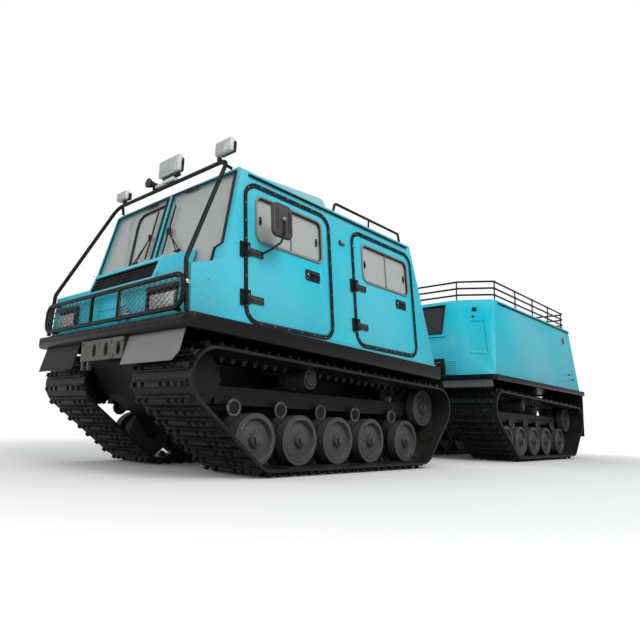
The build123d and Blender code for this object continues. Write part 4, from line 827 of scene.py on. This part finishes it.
def window_trim(shape, window):
    """Gasket, inner rubber ring, middle bar and latches of a sliding window."""
    y0, y1, z0, z1 = window
    y, z, wide, high = (y0 + y1) / 2, (z0 + z1) / 2, y1 - y0, (z1 - z0) * RISE
    place = on_side(y, z, 0.004)
    put(shape, pipe(rounded_loop(wide + 0.004, high + 0.004, WINDOW_CORNER), 0.0085, True), place, GASKET)
    put(shape, pipe(rounded_loop(wide - 0.016, high - 0.016, WINDOW_CORNER - 0.008), 0.0050, True),
        on_side(y, z, -0.003), RUBBER)
    put(shape, block((0.010, high - 0.016, 0.008), 0.002), on_side(y + 0.012, z, -0.009), GASKET)
    for along in (-wide / 2 + 0.045, wide / 2 - 0.045):
        put(shape, slab((0.014, 0.060, 0.010), 0.006, 0.002), on_side(y + along, z - 0.005, -0.008))
        put(shape, block((0.008, 0.016, 0.008), 0.003), on_side(y + along, z - 0.010, 0.000))


MIRROR_ARM = ((0.100, 1.415, 0.012), (0.104, 1.418, 0.060), (0.114, 1.432, 0.112), (0.136, 1.462, 0.165),
              (0.152, 1.520, 0.186), (0.160, 1.590, 0.186), (0.160, 1.626, 0.180))


def folding_mirror(shape, y):
    """A ribbed mirror head folded along the door, on a bent arm from the upper hinge strap."""
    put(shape, pipe([on_side(y + along, z, out).translation for along, z, out in MIRROR_ARM], 0.0075,
                    sides=12))
    centre = on_side(y + 0.160, 1.620, 0.154)
    put(shape, slab((0.176, 0.236 * RISE, 0.034), 0.042, 0.012), centre, WEATHERED)
    put(shape, slab((0.158, 0.216 * RISE, 0.004), 0.036), centre @ Matrix.Translation((0, 0, -0.0178)),
        BRIGHT)
    put(shape, ball(0.019), centre @ Matrix.Translation((0, 0.006, 0.020)), GASKET)
    put(shape, turned(0.030, 0.006, 0.024, rounding=0.002), centre @ Matrix.Translation((0, 0.006, 0.019)))
    for along in (-0.064, -0.048, 0.048, 0.064):
        put(shape, block((0.005, 0.150, 0.004), 0.0015), centre @ Matrix.Translation((along, 0, 0.0180)))


gasket_grey = finish("window gasket", (0.22, 0.235, 0.235), 0.5, (300.0, 0.0003), (0.9, 1.4, 0.2),
                     (30.0, 0.62, 0.3), (0.35, 0.36, 0.36), gloss=0.3)
weathered = finish("weathered plastic", (0.060, 0.055, 0.055), 0.5, (400.0, 0.0003), (0.6, 1.4, 0.15),
                   (30.0, 0.60, 0.4), (0.14, 0.13, 0.13), gloss=0.3)
bright = finish("bright fixings", (0.55, 0.56, 0.57), 0.25, (500.0, 0.0002), (0.4, 1.2, 0.2),
                (30.0, 0.6, 0.3), (0.3, 0.3, 0.3), metallic=0.9)
for place, (edges, window) in DOORS.items():
    shape = bmesh.new()
    for height in HINGES:
        strap_hinge(shape, edges[0], height)
    handle(shape, edges[1] - 0.179, 1.385)
    window_trim(shape, window)
    if place == "front":
        folding_mirror(shape, edges[0])
    for side, flip in (("left", False), ("right", True)):
        door = f"{place}_door_{side}"
        made = finished(door + "_hardware", shape, door, "trim_plastic", trim, gasket_grey, bright,
                        weathered, seal_black, flip=flip)
        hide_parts(door + "_fittings")
    print(place, "door hardware:", len(made.data.polygons), "faces")
    shape.free()

# %% Gasket clips and gutters
CLIP_STEP = 0.125
clips = bmesh.new()
for edges, window in DOORS.values():
    y0, y1, z0, z1 = edges
    loop = rounded_loop(y1 - y0 + 0.040, (z1 - z0 + 0.040) * RISE, DOOR_CORNER + 0.020, 8)
    loop = [on_side((y0 + y1) / 2, (z0 + z1) / 2, 0.0096) @ point for point in loop]
    walked = 0.0
    for here, there in zip(loop, loop[1:] + loop[:1]):
        length = (there - here).length
        while walked < length:
            spot = here.lerp(there, walked / length)
            if not any(abs(spot.z - height) < 0.075 and spot.y < y0 + 0.05 for height in HINGES):
                heading = (there - here).normalized()
                put(clips, block((0.016, 0.006, 0.0025), 0.001, 1),
                         on_side(spot.y, spot.z, 0.0103, atan2(heading.z * RISE, heading.y)), GASKET)
            walked += CLIP_STEP
        walked -= length
both_sides("gasket_clips_", clips, "front_car", "seal_rubber", seal_black, gasket_grey, bright)

GUTTERS = (("front_car", -2.935, -1.035, 1.966), ("rear_car", 0.870, 3.290, 1.806))
for body, y0, y1, z in GUTTERS:
    shape = bmesh.new()
    middle, long = (y0 + y1) / 2, y1 - y0
    put(shape, block((long, 0.022, 0.012), 0.003), on_side(middle, z, 0.006))
    # The black strip under the gutter is a painted shadow line.
    put(shape, block((long, 0.010, 0.020), 0.003), on_side(middle, z - 0.014, 0.010), 1)
    both_sides(body + "_gutter_and_painted_shadow_", shape, body, "body_paint", paint, seal_black)
print("clips and gutters set")

# %% [markdown]
# ## Lamps
# The headlamps sit behind the guard's mesh: a bright bowl and a ribbed lens under a black hood, with one
# black wall towards the middle of the nose. Three square work lamps and a horn stand on the bar over the
# windscreen.

# %% Lamps
HOUSING, LENS, BOWL, BLACK, AMBER, RED = 0, 1, 2, 3, 4, 5
red_lens = glass("red lens", (0.45, 0.02, 0.015), 0.3, (0.1, 0.2), 60.0)
lamps = bmesh.new()
NOSE_Y, BAR_Y, BAR_Z = -3.373, -3.040, 2.066
for x in (-0.620, 0.620):
    inner = x - 0.142 if x > 0 else x + 0.142       # the wall towards the middle of the nose
    put(lamps, block((0.308, 0.036, 0.026), 0.006), at(x, NOSE_Y - 0.0185, 1.116), BLACK)
    put(lamps, block((0.016, 0.032, 0.140), 0.003), at(inner, NOSE_Y - 0.0165, 1.045), BLACK)
    put(lamps, slab((0.290, 0.128, 0.006), 0.012, 0.001), at(x, NOSE_Y - 0.0040, 1.042) @ FORWARD, BLACK)
    put(lamps, slab((0.262, 0.096, 0.004), 0.012, 0.001), at(x, NOSE_Y - 0.0085, 1.036) @ FORWARD, BOWL)
    put(lamps, slab((0.256, 0.090, 0.010), 0.012, 0.004), at(x, NOSE_Y - 0.0150, 1.036) @ FORWARD, LENS)
    for rib in range(9):
        put(lamps, block((0.003, 0.003, 0.080)), at(x + (rib - 4) * 0.026, NOSE_Y - 0.0205, 1.036), LENS)


def work_lamp(x0, x1, stem, low, top):
    """A square lamp on a stem: black back and bracket, white rim and lens in front."""
    x, wide, z, high = (x0 + x1) / 2, x1 - x0, BAR_Z + (low + top) / 2, top - low
    put(lamps, block((wide, 0.030, high), 0.008, 3), at(x, BAR_Y - 0.020, z), HOUSING)
    put(lamps, block((wide * 0.86, 0.034, high * 0.84), 0.010, 3), at(x, BAR_Y + 0.012, z), BLACK)
    put(lamps, block((wide * 0.88, 0.006, high * 0.86), 0.002), at(x, BAR_Y - 0.0350, z), LENS)
    for rib in range(5):
        put(lamps, block((wide * 0.70, 0.006, 0.004)), at(x, BAR_Y + 0.029, z + (rib - 2) * high * 0.13),
            BLACK)
    put(lamps, block((0.028, 0.024, low + 0.004), 0.003), at(stem, BAR_Y, BAR_Z + low / 2 + 0.0005), BLACK)
    for aside in (-0.5, 0.5):
        put(lamps, block((0.004, 0.022, high * 0.6), 0.001, 1),
            at(x + aside * (wide - 0.004), BAR_Y, z - high * 0.15), BLACK)
        put(lamps, turned(0.008, 0.006, sides=6), at(x + aside * (wide - 0.006), BAR_Y, z, turn_y=pi / 2),
            BLACK)


WORK_LAMPS = (          # left and right edge, stem, lower and upper edge over the bar
    (-0.690, -0.545, -0.614, 0.022, 0.092), (0.606, 0.775, 0.618, 0.022, 0.118),
    (-0.080, 0.182, 0.050, 0.056, 0.186))
for values in WORK_LAMPS:
    work_lamp(*values)
put(lamps, block((0.190, 0.040, 0.022), 0.006), at(0.050, BAR_Y, BAR_Z + 0.046), BLACK)
put(lamps, block((0.120, 0.050, 0.030), 0.006), at(0.050, BAR_Y, BAR_Z + 0.0155))
put(lamps, turned(0.016, 0.110, rounding=0.003), at(-0.085, BAR_Y - 0.004, BAR_Z + 0.014, turn_y=pi / 2))
put(lamps, turned(0.018, 0.080, 0.024, rounding=0.002), at(-0.175, BAR_Y + 0.010, 2.106) @ FORWARD, BLACK)
put(lamps, turned(0.024, 0.040, 0.040, rounding=0.003), at(-0.175, BAR_Y - 0.040, 2.106) @ FORWARD, BLACK)
put(lamps, block((0.012, 0.026, 0.034), 0.002), at(-0.175, BAR_Y, 2.080), BLACK)
for sign, flip in SIDES:
    put(lamps, slab((0.068, 0.036, 0.010), 0.016, 0.003), flip @ on_side(-1.978, 1.738, 0.0055), BLACK)
    put(lamps, slab((0.054, 0.026, 0.014), 0.012, 0.005), flip @ on_side(-1.978, 1.738, 0.0150), LENS)
    put(lamps, block((0.140, 0.038, 0.080), 0.006), at(sign * 0.770, -0.6780, 0.945, turn_x=-0.25), BLACK)
    for aside, lens in ((-0.040, AMBER), (0.0, RED), (0.040, RED)):
        put(lamps, turned(0.017, 0.008, 0.015, rounding=0.003),
            at(sign * 0.770 + aside, -0.6575, 0.948, turn_x=-pi / 2 - 0.25), lens)
made = finished("cab_lamps", lamps, "front_car", "lamp_lens", lamp_white, lens_glass, bright, trim,
                amber_lens, red_lens)
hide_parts("front_lamps")
lamps.free()
print("cab lamps:", len(made.data.polygons), "faces")

# %% Lamps and boxes of the rear car
REAR_FRONT, REAR_REAR, REAR_LOW, REAR_TOP = (0.452, 0.620), (3.427, 3.300), 0.932, 1.830


def rear_y(foot_and_top, z):
    """Where the rear car's front or rear wall is at a height."""
    foot, top = foot_and_top
    return foot + (top - foot) * (z - REAR_LOW) / (REAR_TOP - REAR_LOW)


rear_tilt = atan2(REAR_REAR[1] - REAR_REAR[0], REAR_TOP - REAR_LOW)
fitted = bmesh.new()
for sign, flip in SIDES:
    box = at(sign * 0.710, rear_y(REAR_REAR, 1.005) + 0.012, 1.005, turn_x=-rear_tilt)
    put(fitted, block((0.140, 0.022, 0.090), 0.006), box, BLACK)
    for aside, lens in ((-0.042, AMBER), (0.0, RED), (0.042, RED)):
        put(fitted, turned(0.018, 0.010, 0.016, rounding=0.003), box @ at(aside, 0.0140, 0, -pi / 2), lens)
    put(fitted, block((0.060, 0.060, 0.048), 0.008), at(sign * 0.730, 3.210, REAR_TOP + 0.0250), BLACK)
    put(fitted, block((0.046, 0.008, 0.034), 0.003), at(sign * 0.730, 3.243, REAR_TOP + 0.0250), LENS)
    put(fitted, slab((0.052, 0.100, 0.010), 0.025, 0.003), flip @ on_side(2.980, 1.628, 0.0055), BOWL)
    put(fitted, slab((0.038, 0.084, 0.014), 0.018, 0.005), flip @ on_side(2.980, 1.628, 0.0150), RED)
    put(fitted, block((0.050, 0.016, 0.016), 0.004), flip @ on_side(3.060, 1.154, 0.008), BLACK)
    put(fitted, turned(0.012, 0.016, 0.009), flip @ on_side(3.170, 1.092, 0.008), BLACK)
VENT_X, VENT_WIDE = 0.4575, 0.145
put(fitted, block((VENT_WIDE, 0.014, 0.175), 0.004), at(VENT_X, 0.4370, 1.0205), HOUSING)
for slat in range(7):
    place = at(VENT_X, 0.4310, 0.950 + slat * 0.023, turn_x=0.5)
    put(fitted, block((VENT_WIDE - 0.020, 0.010, 0.010), 0.002), place, HOUSING)
made = finished("rear_lamps_and_vents", fitted, "rear_car", "lamp_lens", paint, lens_glass, bright, trim,
                amber_lens, red_lens)
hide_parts("rear_lamps")
fitted.free()
print("rear lamps:", len(made.data.polygons), "faces")

# %% [markdown]
# ## The guard's mesh
# Expanded metal is a grid of diamonds. A square grid is turned by 45 degrees, stretched, cut to the guard's
# field by planes, and its edges become thin strips with the Wireframe modifier. Drawing it in a texture would
# be lighter, but it would have no thickness and no shadow.

# %% Expanded metal
mesh_steel = finish("expanded metal", (0.16, 0.16, 0.165), 0.35, (400.0, 0.0002), (0.8, 1.3, 0.2),
                    (26.0, 0.55, 0.4), (0.45, 0.45, 0.45), metallic=0.7)
GUARD_Y, MESH_X, MESH_Z = -3.424, (0.1925, 0.8705), (0.9765, 1.1455)
for side, sign in (("left", 1), ("right", -1)):
    net = bmesh.new()
    bmesh.ops.create_grid(net, x_segments=34, y_segments=34, size=0.52)
    bmesh.ops.rotate(net, verts=net.verts, cent=(0, 0, 0), matrix=Matrix.Rotation(pi / 4, 3, "Z"))
    bmesh.ops.scale(net, verts=net.verts, vec=(1.35, 0.85, 1))
    middle = at(sign * sum(MESH_X) / 2, GUARD_Y, sum(MESH_Z) / 2)
    bmesh.ops.transform(net, verts=net.verts, matrix=middle @ FORWARD)
    cuts = [((sign * MESH_X[0], 0, 0), (-sign, 0, 0)), ((sign * MESH_X[1], 0, 0), (sign, 0, 0)),
            ((0, 0, MESH_Z[0]), (0, 0, -1)), ((0, 0, MESH_Z[1]), (0, 0, 1))]
    for z, tilt in ((MESH_Z[0] + 0.018, -1), (MESH_Z[1] - 0.018, 1)):
        cuts.append(((sign * (MESH_X[1] - 0.018), 0, z), (sign * 0.707, 0, tilt * 0.707)))
    for point, direction in cuts:
        bmesh.ops.bisect_plane(net, geom=list(net.verts) + list(net.edges) + list(net.faces),
                               plane_co=point, plane_no=direction, clear_outer=True, dist=1e-5)
    data = mesh_of("expanded_metal_" + side, net)
    piece = link_piece(data.name, data, "front_car", "black_steel", mesh_steel)
    strips = piece.modifiers.new("strips", "WIREFRAME")
    strips.thickness, strips.use_even_offset = 0.0042, False
    print(piece.name, len(data.polygons), "diamonds")
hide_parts("guard_mesh")

# %% [markdown]
# ## Wheels
# The CAD wheels already have their dish. On them go a rim ring, lighter and shinier than the wheel as a
# painted highlight, a ring of bolts round the hub, and the square cap of the axle's nut. Between them show
# the eyes of the trailing arms.

# %% Wheel trim
ROLLER_Y, ROLLER_Z, EYE_RADIUS = -2.198, 0.685, 0.050
ARM_AHEAD, ARM_RISE = 0.160, 0.200                  # from a wheel's axle to its arm's pivot
WHEEL_FACE, PIVOT_FACE = 0.625 + 0.126, 0.702
# A lighter, shinier finish for the rim rings and the eye rings: a painted highlight.
rim_painted_highlight = finish("rim with painted highlight", (0.085, 0.085, 0.083), 0.38, (200.0, 0.0003), (0.0, 0.9, 0.5),
                   (20.0, 0.5, 0.5), (0.3, 0.3, 0.29), metallic=0.5)


def wheel_trim(shape, y, z, radius):
    """Rim ring, bolts and nut cap on a wheel's outer face."""
    put(shape, pipe(circle(radius * 0.82, 40), 0.0045, True), at(WHEEL_FACE, y, z), 1)
    put(shape, block((0.030, 0.052, 0.052), 0.006), at(WHEEL_FACE + 0.018, y, z, turn_x=0.3))
    put(shape, turned(0.042, 0.008, 0.040, rounding=0.002), at(WHEEL_FACE + 0.010, y, z, turn_y=pi / 2))
    for bolt in circle(0.058, 8):
        put(shape, turned(0.005, 0.006, sides=6),
            at(WHEEL_FACE - 0.014, y + bolt.y, z + bolt.z, turn_y=pi / 2))


def arm_pivot(shape, y, z):
    """The eye of a trailing arm: a cast ring with a dark plug in it."""
    # The ring takes the rim's finish, lighter as a painted highlight.
    put(shape, pipe(circle(EYE_RADIUS, 32), 0.0105, True), at(PIVOT_FACE, y, z), 1)
    put(shape, turned(EYE_RADIUS, 0.020, rounding=0.002), at(PIVOT_FACE - 0.006, y, z, turn_y=pi / 2), 2)


for car, step in (("front", 0.0), ("rear", CAR_STEP)):
    shape = bmesh.new()
    for along in ROAD_STEPS:
        wheel_trim(shape, ROAD_FIRST + along + step, ROAD_Z, ROAD_RADIUS)
        arm_pivot(shape, ROAD_FIRST + along + step - ARM_AHEAD, ROAD_Z + ARM_RISE)
    wheel_trim(shape, IDLER_Y + step, IDLER_Z, IDLER_RADIUS)
    put(shape, pipe(circle(EYE_RADIUS, 32), 0.006, True), at(WHEEL_FACE, ROLLER_Y + step, ROLLER_Z), 1)
    made = both_sides(car + "_wheel_trim_", shape, car + "_car", "wheel_paint", wheel_paint, rim_painted_highlight,
                      cast)
    print(car, "wheel trim:", len(made.data.polygons), "faces")

# %% Bolts of the deck's nose and brackets of the tow plate
DECK_ROUND, DECK_NOSE, DECK_MIDDLE = 0.043, -3.407, 0.8865
shape = bmesh.new()
lift = DECK_ROUND + 0.001
for bolt in range(13):
    place = at(-0.87 + bolt * 0.145, DECK_NOSE - lift * 0.80, DECK_MIDDLE + lift * 0.60, turn_x=0.93)
    put(shape, turned(0.0075, 0.006, 0.006, sides=8), place)
for x in (-0.215, -0.135):
    put(shape, block((0.020, 0.030, 0.090), 0.004), at(x, -3.420, 0.690), 1)
    put(shape, turned(0.010, 0.030, sides=12), at(x, -3.420, 0.668, turn_y=pi / 2), 1)
put(shape, block((0.060, 0.004, 0.030), 0.001, 1), at(0.170, -3.4385, 0.722), 1)
for x in (-0.220, 0.015, 0.165, 0.290):
    put(shape, turned(0.008, 0.006, sides=6), at(x, -3.4390, 0.815) @ FORWARD, 1)
made = finished("nose_bolts_and_brackets", shape, "front_car", "black_steel", black, plate_grey)
shape.free()
print("nose details:", len(made.data.polygons), "faces")

# %% [markdown]
# ## Seats and benches
# A cushion is a block that its stuffing rounds out: the block gets a few cuts, its middle is pushed outwards,
# piping runs round the seam, and a Subdivision modifier makes it soft. A cloth simulation would crease it
# more, and would cost a bake for seats that only show through milky glass.

# %% Padded seats
def cushion(size, puff=0.25, cuts=3):
    """A padded block about the origin, fullest at the middle of its large faces."""
    small = bmesh.new()
    bmesh.ops.create_cube(small, size=1.0)
    bmesh.ops.subdivide_edges(small, edges=small.edges, cuts=cuts, use_grid_fill=True)
    for corner in small.verts:
        x, y, z = corner.co
        swell = 1 + puff * (1 - 4 * x * x) * (1 - 4 * y * y)
        corner.co.z *= swell
        corner.co.x *= 1 - 0.05 * abs(2 * z) ** 2
        corner.co.y *= 1 - 0.05 * abs(2 * z) ** 2
    bmesh.ops.scale(small, verts=small.verts, vec=size)
    return small


def deck_top(y):
    """Height of the front deck, which falls towards the rear."""
    return SIDE_Z - 0.050 * (y - DECK_NOSE) / 2.735


def seat(shape, x, y, wide):
    """A cushion and a leaning back, with piping, on a boxed foot."""
    floor = deck_top(y + 0.25) + 0.002
    put(shape, block((wide - 0.04, 0.460, 1.160 - floor - 0.010), 0.012),
        at(x, y + 0.270, (floor + 1.160) / 2 + 0.003), 1)
    parts = max(1, round(wide / 0.5))
    for part in range(parts):
        across, span = x + (part - (parts - 1) / 2) * wide / parts, wide / parts - 0.006
        put(shape, cushion((span, 0.500, 0.085)), at(across, y + 0.275, 1.205, turn_x=0.04))
        put(shape, cushion((span, 0.500, 0.075)), at(across, y + 0.520, 1.510, turn_x=1.42))
        loop = rounded_loop(span - 0.012, 0.486, 0.030)
        put(shape, pipe(loop, 0.005, True), at(across, y + 0.275, 1.205, turn_x=0.04), 2)
        put(shape, pipe(loop, 0.005, True), at(across, y + 0.520, 1.510, turn_x=1.42), 2)


def soft(piece, node):
    """Rounds a piece off and puts it in a node's place."""
    piece.modifiers.new("soft", "SUBSURF").render_levels = 1
    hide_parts(node)


shape = bmesh.new()
SEATS = ((0.520, -2.560, 0.480), (-0.520, -2.560, 0.480), (0.0, -1.660, 1.460))
for x, y, wide in SEATS:
    seat(shape, x, y, wide)
made = finished("padded_cab_seats", shape, "front_car", "seat_cloth", cloth, trim, seal_black)
soft(made, "cab_seats")
shape.free()
print("seats:", len(made.data.polygons), "faces")

BENCH_Z = 1.350
shape = bmesh.new()
for sign in (1, -1):
    wall = SIDE_HALF - (BENCH_Z - SIDE_Z) * LEAN - 0.080
    x = sign * (wall - 0.165)
    put(shape, block((0.300, 2.140, 0.340), 0.012), at(x, 2.075, 1.105), 1)
    for part in range(4):
        put(shape, cushion((0.322, 0.530, 0.062), 0.2), at(x, 1.272 + part * 0.5355, 1.306))
made = finished("padded_rear_benches", shape, "rear_car", "seat_cloth", cloth, trim)
soft(made, "rear_benches")
shape.free()
print("benches:", len(made.data.polygons), "faces")

# %% [markdown]
# ## Small fittings
# What is left are bars, plates and bolts: the divider of the windscreen, fittings on the nose, and on the
# rear car the clamps of the basket, the sill and pipe round the window, and what sits on the chamfered
# corner. The dark sheet behind the louvres of the nose is painted shade.

# %% Windscreen divider, a painted shade sheet behind the nose louvres, and small fittings of the cab
SCREEN_FOOT, SCREEN_HEAD = (-3.126, 1.312), (-2.988, 2.002)
DIVIDER = ((-0.338, 1.420), (-0.398, 1.800), (-0.395, 1.880), (-0.350, 1.915), (-0.060, 1.925))


def on_screen(x, z, ahead=0.0):
    """A matrix on the windscreen: local X across, Z out of the glass."""
    (foot_y, foot_z), (head_y, head_z) = SCREEN_FOOT, SCREEN_HEAD
    slope = (head_y - foot_y) / (head_z - foot_z)
    return at(x, foot_y + slope * (z - foot_z) - ahead, z, pi / 2 - atan2(slope, 1))


shape = bmesh.new()
divider = [on_screen(x, z, -0.004).translation for x, z in DIVIDER]
put(shape, pipe(divider, 0.009, sides=12))
for x in (-0.26, 0.26):
    put(shape, block((0.150, 0.030, 0.010), 0.003), on_screen(x, 1.975, 0.006))
# A dark sheet behind the louvres of the nose, where there is only shade: painted shade.
put(shape, block((0.800, 0.003, 0.122), 0.001, 1), at(0.095, -3.3460, 1.2600, turn_x=-0.33))
put(shape, block((0.340, 0.004, 0.010), 0.001, 1), at(0.0, NOSE_Y - 0.003, 1.060), 3)
for x, tall in ((0.118, 0.090), (0.212, 0.060), (0.236, 0.045)):
    put(shape, block((0.026, 0.020, tall), 0.006), at(x, NOSE_Y - 0.012, 0.960 + tall / 2), 2)
    put(shape, turned(0.011, 0.024, 0.008, rounding=0.002), at(x, NOSE_Y - 0.022, 0.965 + tall) @ FORWARD,
        1)
for sign in (1, -1):
    put(shape, block((0.034, 0.030, 0.026), 0.006), at(sign * 0.889, -3.402, 1.108), 1)
for x in (-0.30, 0.20, 0.49):
    put(shape, turned(0.0055, 0.004, sides=8), at(x, -3.372, 1.325, turn_x=-0.6) @ FORWARD, 1)
finished("cab_front_fittings_and_painted_shade", shape, "front_car", "trim_plastic", seal_black, bright, lamp_white, paint)
shape.free()

shape = bmesh.new()
for y in (-2.70, -2.25, -1.70, -1.20):
    for sign, flip in SIDES:
        put(shape, turned(0.009, 0.006, 0.007, sides=12), flip @ on_side(y, 1.940, 0.003))
for sign, flip in SIDES:
    for y, z in ((-0.84, 1.10), (-0.84, 1.30), (-3.25, 1.05), (-3.25, 1.16)):
        put(shape, turned(0.006, 0.004, sides=8), flip @ on_side(y, z, 0.002))
finished("cab_rivets", shape, "front_car", "body_paint", bright)
shape.free()

# %% Rail clamps, chamfer fittings and window sill of the rear car
shape = bmesh.new()
top_half = SIDE_HALF - (REAR_TOP - SIDE_Z) * LEAN - 0.046
for y in (0.905, 1.500, 2.060, 2.620, 3.150):
    for sign in (1, -1):
        put(shape, slab((0.050, 0.050, 0.006), 0.012, 0.001), at(sign * top_half, y, REAR_TOP + 0.0035))
        for height in (1.905, 1.985, 2.066):
            put(shape, turned(0.0145, 0.020, rounding=0.002, sides=16), at(sign * top_half, y, height))
for x in (-0.390, 0.390):
    for y in (0.690, 3.250):
        put(shape, slab((0.050, 0.050, 0.006), 0.012, 0.001), at(x, y, REAR_TOP + 0.0035))
sill = rear_y(REAR_FRONT, 1.400)
put(shape, block((0.640, 0.014, 0.014), 0.004), at(0.0, sill - 0.007, 1.400), 2)
WINDOW = ((-0.272, 1.436), (0.272, 1.436), (0.282, 1.782), (-0.282, 1.782))
window = [Vector((x, rear_y(REAR_FRONT, z) - 0.003, z)) for x, z in WINDOW]
put(shape, pipe(window, 0.009, True, sides=12), Matrix(), 1)
inner_foot, outer_foot, outer_top = (Vector(corner) for corner in (
    (0.552, 0.452, 0.932), (0.900, 0.612, 0.932), (0.812, 0.795, 1.830)))
across = (outer_foot - inner_foot).normalized()
facing = across.cross(outer_top - inner_foot).normalized()
panel = Matrix.Translation((inner_foot + outer_foot) / 2) @ axes(across, facing.cross(across), facing)
for sign, flip in SIDES:
    put(shape, block((0.048, 0.040, 0.022), 0.006), flip @ panel @ at(-0.035, 0.795, 0.011), 1)
    put(shape, turned(0.013, 0.020, 0.010, rounding=0.002), flip @ panel @ at(-0.050, 0.705, 0.010), 1)
    put(shape, block((0.190, 0.010, 0.005), 0.002), flip @ panel @ at(0.0, 0.262, 0.0025), 2)
put(shape, block((0.160, 0.024, 0.190), 0.008), at(0.285, 0.4380, 1.030), 1)
# A bright curved pipe on the front of the black box stands for a curved highlight: painted highlight.
bright_curve_painted_highlight = [Vector((x, 0.423, z)) for x, z in ((0.320, 1.080), (0.275, 1.070), (0.255, 1.030), (0.262, 0.985))]
put(shape, pipe(bright_curve_painted_highlight, 0.0055), Matrix(), 3)
DECK_EDGE = 0.9755
for sign in (1, -1):
    for step in range(12):
        put(shape, turned(0.0065, 0.004, sides=6),
            at(sign * DECK_EDGE, 0.62 + step * 0.24, 0.903, turn_y=sign * pi / 2))
finished("rear_car_fittings", shape, "rear_car", "black_steel", black, seal_black, paint, bright)
shape.free()
print("rear car fitted")
